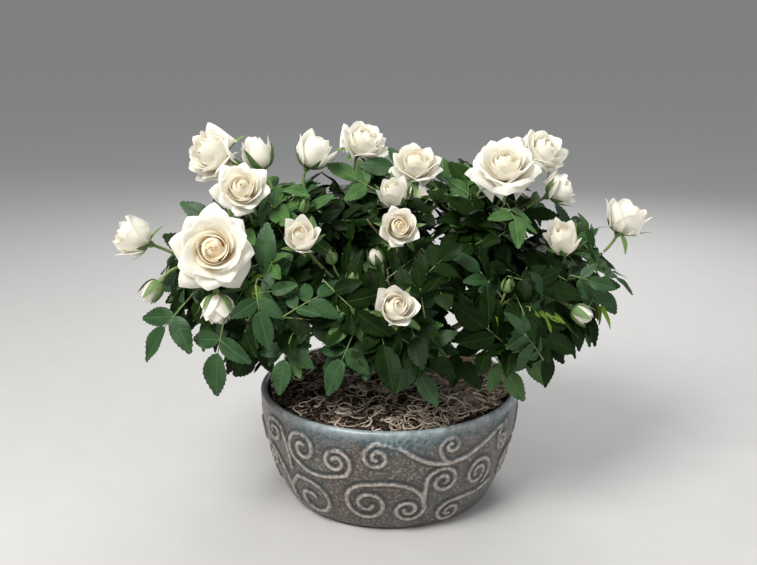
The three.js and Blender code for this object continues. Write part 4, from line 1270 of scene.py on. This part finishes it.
# %% Hips, sepals and stalks
# Each kind of limb: its radius at the foot and at the tip, its rows of points and its sides.
LIMBS = {
    "flower_stalk": (1.05, 1.2, 16, 8),
    "bud_stalk": (1.0, 0.8, 14, 6),
    "stem": (CANE_TIP_RADIUS, 1.7, 14, 8),
    "shoot": (1.15, 1.0, 12, 6),
    "twig": (0.85, 0.6, 7, 5),
    "hanging_twig": (1.0, 0.6, 12, 6),
}
STALK_GREEN = 1
HIP = np.array([(0.0, 1.1), (1.0, 1.9), (2.4, 2.7), (3.8, 2.6), (5.0, 2.2), (6.2, 2.9)])
HIP_SIDES = 10
SMALL_BLOOM = 16
SMALL_HIP = 0.75
HIP_SEED = 300
SEPALS = 5
SEPAL_LENGTH = 20
SEPAL_HALF = 2.5
SEPAL_SHUT_HALF = 0.24
SEPAL_STATIONS = 11
SEPAL_LINES = (-1.0, -0.55, 0.0, 0.55, 1.0)
SEPALS_PART = 2.2
SEPALS_LET_GO = (0.55, 0.9)
SEPAL_OFF_PETAL = 0.6
BEND_AT_FOOT = 1.5
BENDS_AT_TIP = (2.0, 2.7)
SEPAL_TURN_STRAY = 0.12
BLOOM_SPIN_STRAY = 0.35

sepal_u = np.tile(SEPAL_LINES, (SEPAL_STATIONS, 1))
sepal_faces = sheet_faces(*sepal_u.shape)


def add_limb(pile, path, start, end, kind, finish_number=0):
    """A tapering tube of one kind along a part of a path."""
    foot_radius, tip_radius, rows, sides = LIMBS[kind]
    line = path.at(np.linspace(start, end, rows))
    pile.add(*tube(line, np.linspace(foot_radius, tip_radius, rows), sides), finish_number=finish_number)


def sepal(width, opened, turn, rng):
    """Points of one sepal about an upright bloom whose foot is at the top of the hip."""
    length = SEPAL_LENGTH * rng.uniform(0.8, 1.15)
    share = np.linspace(0, 1, SEPAL_STATIONS)
    shut = max(0.0, 1 - opened * SEPALS_PART)
    if opened < rng.uniform(*SEPALS_LET_GO):
        hugged = petal_line(opened, 1, share * min(0.9, length / (width * 0.95))) * width
        reach, rise = hugged.T
        along = unit(np.gradient(hugged, axis=0))
        lift = length * rng.uniform(0.1, 0.5) * opened * share ** 3
        off = SEPAL_OFF_PETAL + 0.04 * width * opened + lift
        reach = reach + along[:, 1] * off + 0.4
        rise = rise - along[:, 0] * off
    else:
        bend = mix(BEND_AT_FOOT, rng.uniform(*BENDS_AT_TIP), share ** 0.8)
        step = length / (SEPAL_STATIONS - 1)
        reach = 1.6 + np.cumsum(np.sin(bend)) * step
        rise = np.cumsum(np.cos(bend)) * step - 1.0
    half = mix(SEPAL_HALF, max(SEPAL_HALF, width * SEPAL_SHUT_HALF), shut)
    half = half * (1 - share ** 1.3) ** 0.6 * (0.75 + 0.5 * np.sin(share * 3))
    side = sepal_u * half[:, None]
    cup = np.abs(sepal_u) ** 2 * half[:, None] * 0.35
    out = reach[:, None] - cup * mix(0.2, 1.0, shut)
    flat = np.stack([out * math.cos(turn) - side * math.sin(turn),
                     out * math.sin(turn) + side * math.cos(turn),
                     np.broadcast_to(rise[:, None], side.shape) + cup * 0.4], -1)
    return flat.reshape(-1, 3)


green = Pile()
for seed, (rose, (path, share)) in enumerate(flowers.items(), HIP_SEED):
    _, _, _, width, opened = ROSES[rose]
    rng = np.random.default_rng(seed)
    hip, faces = hip_of(rose)
    plain = turn_to(faces)
    spin = math.atan2(-plain[1][1], -plain[0][1]) + rng.normal(0, BLOOM_SPIN_STRAY)
    ways = turn_to(faces, spin)
    add_limb(green, path, share, 1, "flower_stalk", STALK_GREEN)
    size = SMALL_HIP if width < SMALL_BLOOM else 1.0
    hip_line = hip + faces * HIP[:, :1] * size
    green.add(*tube(hip_line, HIP[:, 1] * size, HIP_SIDES), finish_number=STALK_GREEN)
    for k in range(SEPALS):
        turn = k * FULL_TURN / SEPALS + rng.normal(0, SEPAL_TURN_STRAY)
        green.add(sepal(width, opened, turn, rng) @ ways + hip + faces * HIP_LENGTH, sepal_faces)
print("hip, sepal and stalk points:", green.count)

# %% [markdown]
# Between the blooms stand a few closed green buds no wider than a pea, each on its own thin stalk.
# They are small urns of the same make as the hips, with five sepals wrapped round them.

# %% Small green buds
SMALL_BUDS = {
    "under_top_open": ("top_middle", (35, -10, 245), (0.1, -0.2, 1)),
    "middle": ("front", (-26, -90, 200), (0.1, -0.3, 1)),
    "left": ("top_left", (-62, -42, 242), (0.1, -0.2, 1)),
    "right": ("front_right", (80, -92, 196), (0.2, -0.3, 1)),
    "high_front": ("front", (-42, -80, 213), (-0.2, -0.3, 1)),
    "back": ("back", (52, 96, 220), (0.1, 0.4, 1)),
    "back_left": ("back_left", (-60, 100, 188), (-0.1, 0.5, 1)),
}
SMALL_BUD = np.array([(0.0, 1.0), (1.2, 2.0), (3.5, 2.9), (6.0, 2.7), (8.5, 1.5), (11.0, 0.5)])
BUD_SEED = 700
BUD_LEAVES_STEM = 0.6
BUD_STRAIGHT = 18
BUD_WIDTH = 7.5
BUD_OPENED = 0.05
BUD_SEPALS_AT = 1.2

for seed, (mass, top, faces) in enumerate(SMALL_BUDS.values(), BUD_SEED):
    rng = np.random.default_rng(seed)
    faces = unit(faces)
    foot = np.array(top) - faces * SMALL_BUD[-1, 0]
    stem, stem_start = canes[mass]
    start = stem.at(mix(stem_start, 1, BUD_LEAVES_STEM))
    line = Path(start, mix(start, foot, 0.5), foot - faces * BUD_STRAIGHT, foot)
    add_limb(green, line, 0, 1, "bud_stalk", STALK_GREEN)
    bud_line = foot + faces * SMALL_BUD[:, :1]
    green.add(*tube(bud_line, SMALL_BUD[:, 1], HIP_SIDES), finish_number=STALK_GREEN)
    ways = turn_to(faces, rng.uniform(0, ANY_SPIN))
    for k in range(SEPALS):
        points = sepal(BUD_WIDTH, BUD_OPENED, k * FULL_TURN / SEPALS, rng)
        green.add(points @ ways + foot + faces * BUD_SEPALS_AT, sepal_faces)
print("with small buds:", green.count)

# %% [markdown]
# Leaf green is not one colour. Most leaves are a dark green with a satin face; those high on the
# outside are bluer or clearer, partly as painted light, the youngest are yellow-green and a few are
# bronze. Every finish is a plain green with cloudy change and faint side veins sunk by relief, and
# it is dealt out leaf by leaf, by how deep in the bush and how high up a leaf is: the darkest green,
# an old leaf's dark green deepened into painted shade, is dealt deep inside and low down. The veins
# are drawn by two marks that each leaflet keeps: how far along it a point lies, and how far from its
# midrib.

# %% Leaf and shoot finishes
THROUGH_LEAF = 0.16
LEAF_CLOUD_SIZE = 11
VEINS = 7
VEIN_SLANT = 0.16
SIDE_VEIN = 0.2
VEIN_TONE = 0.5
VEIN_RELIEF = 0.35


def leaf_finish(name, colour, lit, roughness=0.42, shine=0.3):
    """A green with soft clouds, a paler midrib and sunken veins."""
    made, tree, shader = finish(name, colour, roughness, Specular_IOR_Level=shine)
    cloud = between(tree, noise(tree, LEAF_CLOUD_SIZE, detail=3), 0.35, 0.65)
    green_tone = blend(tree, cloud, colour, lit)
    aside = mark(tree, "aside")
    slant = sum_of(tree, "SUBTRACT", mark(tree, "ahead"), sum_of(tree, "MULTIPLY", aside, VEIN_SLANT))
    wave = sum_of(tree, "SINE", sum_of(tree, "MULTIPLY", slant, FULL_TURN * VEINS))
    vein = between(tree, wave, 0.72, 1.0)
    midrib = between(tree, aside, 0.02, 0.12, 1, 0)
    line = sum_of(tree, "MAXIMUM", sum_of(tree, "MULTIPLY", vein, SIDE_VEIN), midrib)
    pale_line = tuple(min(1, c * 1.7 + 0.01) for c in lit)
    paint(tree, shader, blend(tree, sum_of(tree, "MULTIPLY", line, VEIN_TONE), green_tone, pale_line))
    tree.links.new(between(tree, cloud, 0, 1, roughness, roughness + 0.1), shader.inputs["Roughness"])
    rough_relief(tree, shader, sum_of(tree, "MULTIPLY", line, -1), VEIN_RELIEF)
    let_light_through(tree, shader, (*lit, 1), THROUGH_LEAF)
    return made


leaf_kinds = [
    # The darkest green is nearly black: an old leaf's dark green deepened into painted shade.
    leaf_finish("leaf_dark_and_shaded", (0.0035, 0.012, 0.001), (0.0085, 0.026, 0.002), shine=0.1),
    leaf_finish("leaf_blue_green", (0.018, 0.053, 0.015), (0.036, 0.091, 0.029)),
    leaf_finish("leaf_clear", (0.037, 0.096, 0.020), (0.070, 0.158, 0.042)),
    leaf_finish("leaf_young", (0.10, 0.19, 0.022), (0.17, 0.29, 0.036), 0.38),
    leaf_finish("leaf_bronze", (0.10, 0.052, 0.020), (0.12, 0.10, 0.03), 0.38),
]
sepal_green = bark_finish("sepal_green", (0.10, 0.19, 0.045), (0.15, 0.24, 0.08))
stalk_green = bark_finish("stalk_green", (0.14, 0.23, 0.055), (0.20, 0.27, 0.09))
shoot_green = bark_finish("shoot_green", (0.09, 0.14, 0.04), (0.13, 0.11, 0.05))
green.piece("hips_and_stalks", "leaf", [sepal_green, stalk_green])
print("hip, sepal and stalk triangles:", green.triangles)

# %% [markdown]
# One leaflet is drawn once, flat and one long, as a sheet with a midrib, a line half way out on each
# side and an edge of teeth. It is egg-shaped with a drawn-out tip. Every real leaflet is this sheet
# made larger, folded along its midrib, arched along its length and twisted a little.

# %% The leaflet that all others copy
STATIONS = np.array([0, 0.05, 0.13, 0.22, 0.32, 0.43, 0.54, 0.65, 0.76, 0.87, 1.0])
FOOT_ROUNDS = 0.62
TIP_NARROWS = 0.95
WIDEST_IS_ONE = 2.86
EDGE_LINE = 0.93
INNER_LINE = 0.5
EDGE_DROP = -0.01
QUILT = (-0.004, 0.012)
TOOTH_AT = 0.62
TOOTH_LEANS_ON = 0.015
TOOTH_DROP = -0.012
TOOTH_LEAST = -0.01
TOOTH_AT_TIP = 0.05


def half_width(x):
    """The outline of a leaflet, one at its widest: rounded foot, pointed tip."""
    return WIDEST_IS_ONE * x ** FOOT_ROUNDS * (1 - x) ** TIP_NARROWS


def leaflet_sheet():
    """Points (ahead, aside, quilting) and triangles of the flat leaflet."""
    points, faces = [], []
    rows = []
    for i, x in enumerate(STATIONS):
        wide = half_width(x)
        if wide == 0:
            rows.append([len(points)] * 5)
            points.append((x, 0, 0))
            continue
        quilt = QUILT[i % 2]
        rows.append([len(points) + j for j in range(5)])
        line_sides = (-EDGE_LINE, -INNER_LINE, 0, INNER_LINE, EDGE_LINE)
        for side, lift in zip(line_sides, (EDGE_DROP, quilt, 0, quilt, EDGE_DROP)):
            points.append((x, side * wide, lift))
    for here, after, x, ahead in zip(rows, rows[1:], STATIONS, STATIONS[1:]):
        for side, edge, inner in ((-1, 0, 1), (1, 4, 3)):
            tooth = len(points)
            stands_out = mix(TOOTH_LEAST, TOOTH_AT_TIP, (x / STATIONS[-2]) ** 4)
            wide = half_width(mix(x, ahead, 0.5)) + stands_out
            points.append((mix(x, ahead, TOOTH_AT) + TOOTH_LEANS_ON, side * wide, TOOTH_DROP))
            corners = [
                (here[inner], here[edge], tooth),
                (here[inner], tooth, after[inner]),
                (after[inner], tooth, after[edge]),
                (here[2], here[inner], after[inner]),
                (here[2], after[inner], after[2]),
            ]
            for corner in corners:
                corner = corner if side < 0 else corner[::-1]
                if len(set(corner)) == 3:
                    faces.append(corner)
    return np.array(points, float), np.array(faces)


leaflet_points, leaflet_faces = leaflet_sheet()
leaflet_marks = {"ahead": leaflet_points[:, 0], "aside": np.abs(leaflet_points[:, 1])}
print("triangles in a leaflet:", len(leaflet_faces))

# %% [markdown]
# A rose leaf is compound: leaflets in pairs along a thin stalk and one at its end. Those in the
# picture have five, a few have three or seven. The leaf starts at a node of a shoot, runs mostly
# along the outside of the bush, sags under its own weight and turns its face to the light.

# %% One compound leaf
TERMINAL = 31
LEAFLET_HALF = 0.265
LEAF_FORWARD = 0.4
LEAF_HANGS = 0.15
LEAF_FLATTENED = 0.7
LEAF_TO_LIGHT = np.array([-0.1, -0.5, 0.62])
LEAF_FACES_OUT = np.array([0.75, 0.75, 0.45])
STALK_LENGTH = 11
PAIR_GAP = 10.5
PAIR_SIZE = 0.84
PAIR_LOSS = 0.13
TERMINAL_BACK = 1.5
STALK_SAGS = (0.1, 0.3)
STALK_STIFF = 30
STALK_ROWS = 6
FOLDS = (0.1, 0.42)
ARCHES = (0.03, 0.2)
RIPPLE = 0.02
FACE_STRAY = 0.16


def leaf_ways(path, share, turn, lean):
    """Where a leaf starts, the way it runs and the way its face looks."""
    point, along, across, over = path.frame(share)
    outward = unit(point - HEART_OF_BUSH)
    face = unit(outward * LEAF_FACES_OUT + LEAF_TO_LIGHT + lean)
    way = across * math.cos(turn) + over * math.sin(turn) + along * LEAF_FORWARD - [0, 0, LEAF_HANGS]
    way = unit(unit(way) - face * LEAF_FLATTENED * (unit(way) @ face))
    return point, way, unit(face - way * (face @ way))


def leaf_plan(size, pairs):
    """Where leaflets sit: (along the stalk, turn from it, length), in millimetres and radians."""
    stalk = STALK_LENGTH * size
    gap = PAIR_GAP * size
    plan = []
    for k in range(pairs):
        length = TERMINAL * size * (PAIR_SIZE - PAIR_LOSS * (pairs - 1 - k))
        plan += [(stalk + gap * k, side, length) for side in (-1, 1)]
    return plan + [(stalk + gap * pairs - TERMINAL_BACK, 0, TERMINAL * size)]


def leaf_parts(point, way, face, size, pairs, rng):
    """The stalk as a line of points, and each leaflet's points."""
    side = np.cross(face, way)
    plan = leaf_plan(size, pairs)
    end = plan[-1][0]
    sag = rng.uniform(*STALK_SAGS)

    def on_stalk(reach):
        return point + way * reach - face * (sag * reach ** 2 / (end + STALK_STIFF))

    stalk = np.array([on_stalk(reach) for reach in np.linspace(0, end, STALK_ROWS)])
    leaflets = []
    for reach, turn, length in plan:
        turn = turn * rng.uniform(0.85, 1.2) + rng.normal(0, 0.08)
        slope = 2 * sag * reach / (end + STALK_STIFF)
        ahead = unit(way * math.cos(turn) + side * math.sin(turn) - face * (slope + rng.normal(0, 0.1)))
        looks = face + side * math.sin(turn) * rng.uniform(-0.1, 0.35) + rng.normal(0, FACE_STRAY, 3)
        looks = unit(looks)
        looks = unit(looks - ahead * (looks @ ahead))
        aside = np.cross(looks, ahead)
        long = length * rng.uniform(0.9, 1.08)
        x, y, lift = leaflet_points.T
        wide = long * LEAFLET_HALF * rng.uniform(0.9, 1.1)
        fold = rng.uniform(*FOLDS)
        arch = rng.uniform(*ARCHES)
        wave = RIPPLE * np.sin(9 * x + rng.uniform(0, ANY_SPIN)) * y
        rise = lift + fold * np.abs(y) * LEAFLET_HALF - arch * x ** 2 + wave
        points = on_stalk(reach) + np.outer(x * long, ahead) + np.outer(y * wide, aside)
        leaflets.append(points + np.outer(rise * long, looks))
    return stalk, leaflets


def add_leaf(leaves, twigs, stalk, leaflets, kind, stalk_radii, sides):
    """Puts the leaflets of a leaf with the leaves and its stalk with the twigs."""
    radii = np.linspace(*stalk_radii, len(stalk))
    twigs.add(*tube(stalk, radii, sides), finish_number=STALK_GREEN)
    for points in leaflets:
        leaves.add(points, leaflet_faces, finish_number=kind, **leaflet_marks)


print("a leaf of five is", round(leaf_plan(1, 2)[-1][0] + TERMINAL), "mm long")

# %% [markdown]
# A few leaves are known one by one, because they hang free at the edge of the bush or over the
# bowl, where they make its outline. Each is given by the mass that it hangs from, where its stalk
# starts, where the tip of its last leaflet is and which green it is, and each has three leaflets.
# They come first, because the other leaves leave room for them.

# %% Leaves that hang free
FREE_LEAVES = {
    "low_left": ("left", (-141, -88, 178), (-177, -96, 138), 1),
    "hanging_left": ("front_left", (-113, -100, 168), (-127, -104, 113), 1),
    "facing_left": ("front_left", (-89, -108, 191), (-84, -120, 154), 1),
    "over_rim_left": ("front", (-70, -104, 151), (-81, -116, 120), 1),
    "over_moss": ("front", (-26, -104, 160), (-44, -116, 120), 1),
    "over_moss_right": ("front", (10, -100, 147), (35, -112, 110), 1),
    "low_right": ("front_right", (50, -90, 136), (67, -100, 118), 0),
    "over_rim_right": ("front_right", (75, -84, 135), (96, -92, 106), 2),
    "far_low_right": ("right", (96, -62, 141), (116, -70, 111), 2),
    "right_tip": ("right", (155, -22, 175), (177, -26, 148), 1),
    "beside_upper_left": ("left", (-134, -40, 229), (-152, -44, 240), 1),
    "left_shoulder": ("left", (-140, -58, 208), (-160, -62, 224), 0),
    "top_gap": ("top_middle", (-24, 0, 250), (-46, -4, 264), 2),
    "under_top_side": ("top_middle", (6, 8, 258), (-23, 4, 260), 1),
    "right_shoulder": ("top_right", (100, 0, 222), (130, -6, 228), 0),
}
FREE_PAIRS = 1
FREE_ROOM = 15

free_tips = np.array([row[2] for row in FREE_LEAVES.values()], float)
free_starts = np.array([row[1] for row in FREE_LEAVES.values()], float)
free_middles = free_tips - unit(free_tips - free_starts) * TERMINAL / 2
print("free leaves:", len(FREE_LEAVES))

# %% [markdown]
# The bush as a whole keeps to an egg-shaped room, stays clear above the bowl, and leaves the blooms
# free: nothing grows into a bloom or in front of its face. Each leaf is tried at its node, turned on
# by the golden angle and made a little smaller until it fits, and left out where nothing fits.

# %% The room that leaves keep to
ROOM_CENTRE = np.array([4.0, 0, 166])
ROOM_REACH = np.array([184.0, 140, 103])
RIM_ROOM = 10
LIP_ROOM = 38
OVER_BOWL_RADIUS = RIM_RADIUS + RIM_ROOM
OVER_BOWL_HEIGHT = BOWL_HEIGHT + LIP_ROOM
OVER_BOWL_STRETCH = 0.75
LOWEST_LEAF = 118
NEIGHBOUR_REACH = 9
BEHIND_BLOOM = 0.35
BEFORE_BLOOM = 1.3
BESIDE_BLOOM = 0.52
NECK_LENGTH = 24
NECK_ROOM = 8

bloom_hearts = np.array([row[1] for row in ROSES.values()], float)
bloom_faces = unit([row[2] for row in ROSES.values()])
bloom_widths = np.array([row[3] for row in ROSES.values()], float)


def keeps_room(mass, points):
    """True if points stay with their mass, in the bush's room, over the bowl and off the blooms."""
    if room_inside(mass, points).min() < -NEIGHBOUR_REACH:
        return False
    if (((points - ROOM_CENTRE) / ROOM_REACH) ** 2).sum(-1).max() > 1 or points[:, 2].min() < LOWEST_LEAF:
        return False
    near = np.hypot(points[:, 0], points[:, 1] * OVER_BOWL_STRETCH) < OVER_BOWL_RADIUS
    if (near & (points[:, 2] < OVER_BOWL_HEIGHT)).any():
        return False
    away = points[:, None] - bloom_hearts
    ahead = (away * bloom_faces).sum(-1)
    beside = np.sqrt(np.maximum((away ** 2).sum(-1) - ahead ** 2, 0))
    if np.linalg.norm(points[:, None] - free_middles, axis=-1).min() < FREE_ROOM:
        return False
    behind = -BEHIND_BLOOM * bloom_widths
    into = (ahead > behind) & (ahead < BEFORE_BLOOM * bloom_widths)
    into = into & (beside < BESIDE_BLOOM * bloom_widths)
    neck = (ahead > behind - NECK_LENGTH) & (ahead < 0) & (beside < NECK_ROOM)
    return not (into | neck).any()


print("room for leaves:", ROOM_REACH * 2, "mm")

# %% [markdown]
# Now the bush grows. In each mass the stem, the five leafy shoots and the flowering shoots are those
# of the solids, drawn from the same seed. Then the rule is carried on: side twigs leave each shoot at
# the golden angle, and both carry a leaf at every node, with gaps low down, where little light
# comes. Twigs are tubes, and each mass ends as two pieces, its leaves and its green wood.

# %% Shoots and twigs
LEAFY_SHOOTS = 5
SHOOT_REACH = 0.55
SHOOT_SPREAD = 1.4
SHOOT_TURN_STRAY = 0.6
SHOOT_FIRST = 0.3
SHOOT_LAST = 0.65
SHOOT_ARCH = 0.14
TWIG_FORWARD = 0.6
TWIG_OUTWARD = 0.35
TWIG_STRAY = 0.12
TWIG_RISES = 0.35
TWIG_LENGTHS = (20, 38)
TWIG_GAP = 19
TWIG_FIRST = 0.1
TWIG_CHECKED = 20

# How far along a limb its leaves begin, and how far a flowering shoot is leafy.
SHOOT_BARE = 0.3
FLOWERING_BARE = 0.15
TWIG_BARE = 0.35
FLOWERING_LEAFY = 0.98

NODE_GAP = 10.5
OPEN_BELOW = 162
OPEN_OVER = 62
LEAF_TRIES = 10
FULL_TRIES = 6
PAIRS = [1, 2, 2, 2, 3]
LEAF_SIZES = (0.68, 1.04)
LAST_TRY_SIZE = 0.66
LEAN_STRAY = 0.42
LEAF_STALK_RADII = (0.55, 0.35)
LEAF_STALK_SIDES = 4
LEAFLET_CHECKED = [5, 20, -1]
LEAF_SEED = 500

# How likely each of the greens is, from the darkest, dealt as painted shade, to bronze.
INNER_DEAL = np.array([0.94, 0.04, 0.02, 0.0, 0.0])
OUTER_LOW_DEAL = np.array([0.80, 0.13, 0.07, 0.0, 0.0])
OUTER_HIGH_DEAL = np.array([0.10, 0.38, 0.46, 0.055, 0.005])
DEAL_HEIGHTS = (145, 230)
DEAL_DEPTHS = (0.65, 0.85)


def leafy_shoots(mass, draw):
    """The shoots without a flower, as the solids have them."""
    stem, stem_start = canes[mass]
    outward = unit(middles[mass] - HEART_OF_BUSH)
    lift_turn = Vector((0, 0, 1)).rotation_difference(Vector(outward))
    shoots = []
    for i in range(LEAFY_SHOOTS):
        lift = 1 - SHOOT_SPREAD * ((i + 0.5) / LEAFY_SHOOTS)
        turn = i * GOLDEN_ANGLE + draw() * SHOOT_TURN_STRAY
        flat = math.sqrt(1 - lift * lift)
        way = np.array(lift_turn @ Vector((math.cos(turn) * flat, math.sin(turn) * flat, lift)))
        start = stem.at(mix(stem_start, 1, SHOOT_FIRST + SHOOT_LAST * draw()))
        reach = MASSES[mass][1] * SHOOT_REACH
        end = middles[mass] + way * reach
        shoots.append(Path(start, mix(start, end, 0.5) + [0, 0, reach * SHOOT_ARCH], end))
    return shoots


def side_twig(path, share, turn, length, rng):
    """A twig that leaves a shoot, bends up to the light and stays near the outside."""
    point, along, across, over = path.frame(share)
    outward = unit(point - HEART_OF_BUSH)
    way = across * math.cos(turn) + over * math.sin(turn) + along * TWIG_FORWARD + outward * TWIG_OUTWARD
    way = unit(way + rng.normal(0, TWIG_STRAY, 3))
    middle = point + way * length * 0.5
    return Path(point, middle, middle + unit(way + [0, 0, TWIG_RISES]) * length * 0.5)


def leaf_deal(point):
    """How likely each green is there: the darkest, as painted shade, deep inside and low down, clear and
    young ones outside on top, partly as painted light.
    """
    outer = mix(OUTER_LOW_DEAL, OUTER_HIGH_DEAL, np.interp(point[2], DEAL_HEIGHTS, (0, 1)))
    depth = np.linalg.norm((point - ROOM_CENTRE) / ROOM_REACH)
    deal = mix(INNER_DEAL, outer, np.interp(depth, DEAL_DEPTHS, (0, 1)))
    return deal / deal.sum()


def grow_limbs(mass, draw, rng, twigs):
    """The limbs of one mass as (path, where its leaves begin, where they end), and the last turn."""
    stem, stem_start = canes[mass]
    add_limb(twigs, stem, stem_start, 1, "stem")
    limbs = [(path, SHOOT_BARE, 1.0) for path in leafy_shoots(mass, draw)]
    for rose, (path, share) in flowers.items():
        if ROSES[rose][0] == mass:
            limbs.append((path, FLOWERING_BARE, share * FLOWERING_LEAFY))
    spiral = draw() * FULL_TURN
    for path, start, end in limbs[:]:
        add_limb(twigs, path, 0, end, "shoot")
        for share in np.arange(start + TWIG_FIRST, end, TWIG_GAP / path.length):
            spiral += GOLDEN_ANGLE
            twig = side_twig(path, share, spiral, rng.uniform(*TWIG_LENGTHS), rng)
            if keeps_room(mass, twig.points[::TWIG_CHECKED]):
                limbs.append((twig, TWIG_BARE, 1.0))
                add_limb(twigs, twig, 0, 1, "twig")
    return [*limbs, (stem, stem_start, 1.0)], spiral


def grow_mass(mass, seed):
    """The leaves and the green wood of one mass."""
    rng = np.random.default_rng(LEAF_SEED + seed)
    leaves, twigs = Pile("ahead", "aside"), Pile()
    limbs, spiral = grow_limbs(mass, seeded(seed), rng, twigs)
    grown = 0
    for path, start, end in limbs:
        count = max(1, round((end - start) * path.length / NODE_GAP))
        for share in np.linspace(end, start, count + 1):
            if rng.random() < (OPEN_BELOW - path.at(share)[2]) / OPEN_OVER:
                continue
            for attempt in range(LEAF_TRIES):
                spiral += GOLDEN_ANGLE
                size = mix(1.0, LAST_TRY_SIZE, attempt / LEAF_TRIES) * rng.uniform(*LEAF_SIZES)
                lean = rng.normal(0, LEAN_STRAY, 3)
                pairs = rng.choice(PAIRS) if attempt < FULL_TRIES else 1
                ways = leaf_ways(path, share, spiral, lean)
                stalk, leaflets = leaf_parts(*ways, size, pairs, rng)
                tips = np.concatenate([points[LEAFLET_CHECKED] for points in leaflets])
                if keeps_room(mass, np.concatenate([stalk, tips])):
                    kind = rng.choice(len(leaf_kinds), p=leaf_deal(leaflets[-1][0]))
                    add_leaf(leaves, twigs, stalk, leaflets, kind, LEAF_STALK_RADII, LEAF_STALK_SIDES)
                    grown += 1
                    break
    return leaves, twigs, grown


print("greens in all:", len(leaf_kinds))

# %% [markdown]
# The leaves that hang free are made like all others, but each at a size that takes it from its
# start to its tip. A thin arching twig brings it out from the stem of its mass.

# %% Hanging the free leaves
FREE_LEAF_FACE = np.array([-0.1, -0.8, 0.6])
SHORTEST_FREE = 44
FREE_LEAVES_STEM = 0.7
FREE_ARCH = 14
FREE_STRAIGHT = 12
FREE_STALK_RADII = (0.6, 0.4)
FREE_STALK_SIDES = 5


def hang_leaf(name, leaves, twigs, rng):
    """One known leaf, with the twig that carries it."""
    mass, start, tip, kind = FREE_LEAVES[name]
    start, tip = np.array(start, float), np.array(tip, float)
    way = unit(tip - start)
    length = max(SHORTEST_FREE, np.linalg.norm(tip - start))
    start = tip - way * length
    size = length / (leaf_plan(1, FREE_PAIRS)[-1][0] + TERMINAL)
    face = unit(FREE_LEAF_FACE - way * (FREE_LEAF_FACE @ way))
    stalk, leaflets = leaf_parts(start, way, face, size, FREE_PAIRS, rng)
    stem, stem_start = canes[mass]
    foot = stem.at(mix(stem_start, 1, FREE_LEAVES_STEM))
    arch = mix(foot, start, 0.5) + [0, 0, FREE_ARCH]
    add_limb(twigs, Path(foot, arch, start - way * FREE_STRAIGHT, start), 0, 1, "hanging_twig")
    add_leaf(leaves, twigs, stalk, leaflets, kind, FREE_STALK_RADII, FREE_STALK_SIDES)


print("shortest free leaf:", SHORTEST_FREE, "mm")

# %% [markdown]
# Each mass gets a seed of its own, the one that it has in the solids, so a change in one mass leaves
# the others as they are. The free leaves join the piece of the mass that they hang from.

# %% All masses
FIRST_SEED = 11
FREE_SEED = 900

total_leaves = 0
leaf_triangles = 0
twig_triangles = 0
for index, mass in enumerate(MASSES):
    leaves, twigs, grown = grow_mass(mass, FIRST_SEED + index)
    for seed, name in enumerate(FREE_LEAVES, FREE_SEED):
        if FREE_LEAVES[name][0] == mass:
            hang_leaf(name, leaves, twigs, np.random.default_rng(seed))
    leaves.piece("foliage_" + mass, "leaf", leaf_kinds, ["leaves_" + mass])
    twigs.piece("twigs_" + mass, "leaf", [shoot_green, stalk_green])
    total_leaves += grown
    leaf_triangles += leaves.triangles
    twig_triangles += twigs.triangles
print("leaves:", total_leaves, "leaf triangles:", leaf_triangles, "twig triangles:", twig_triangles)
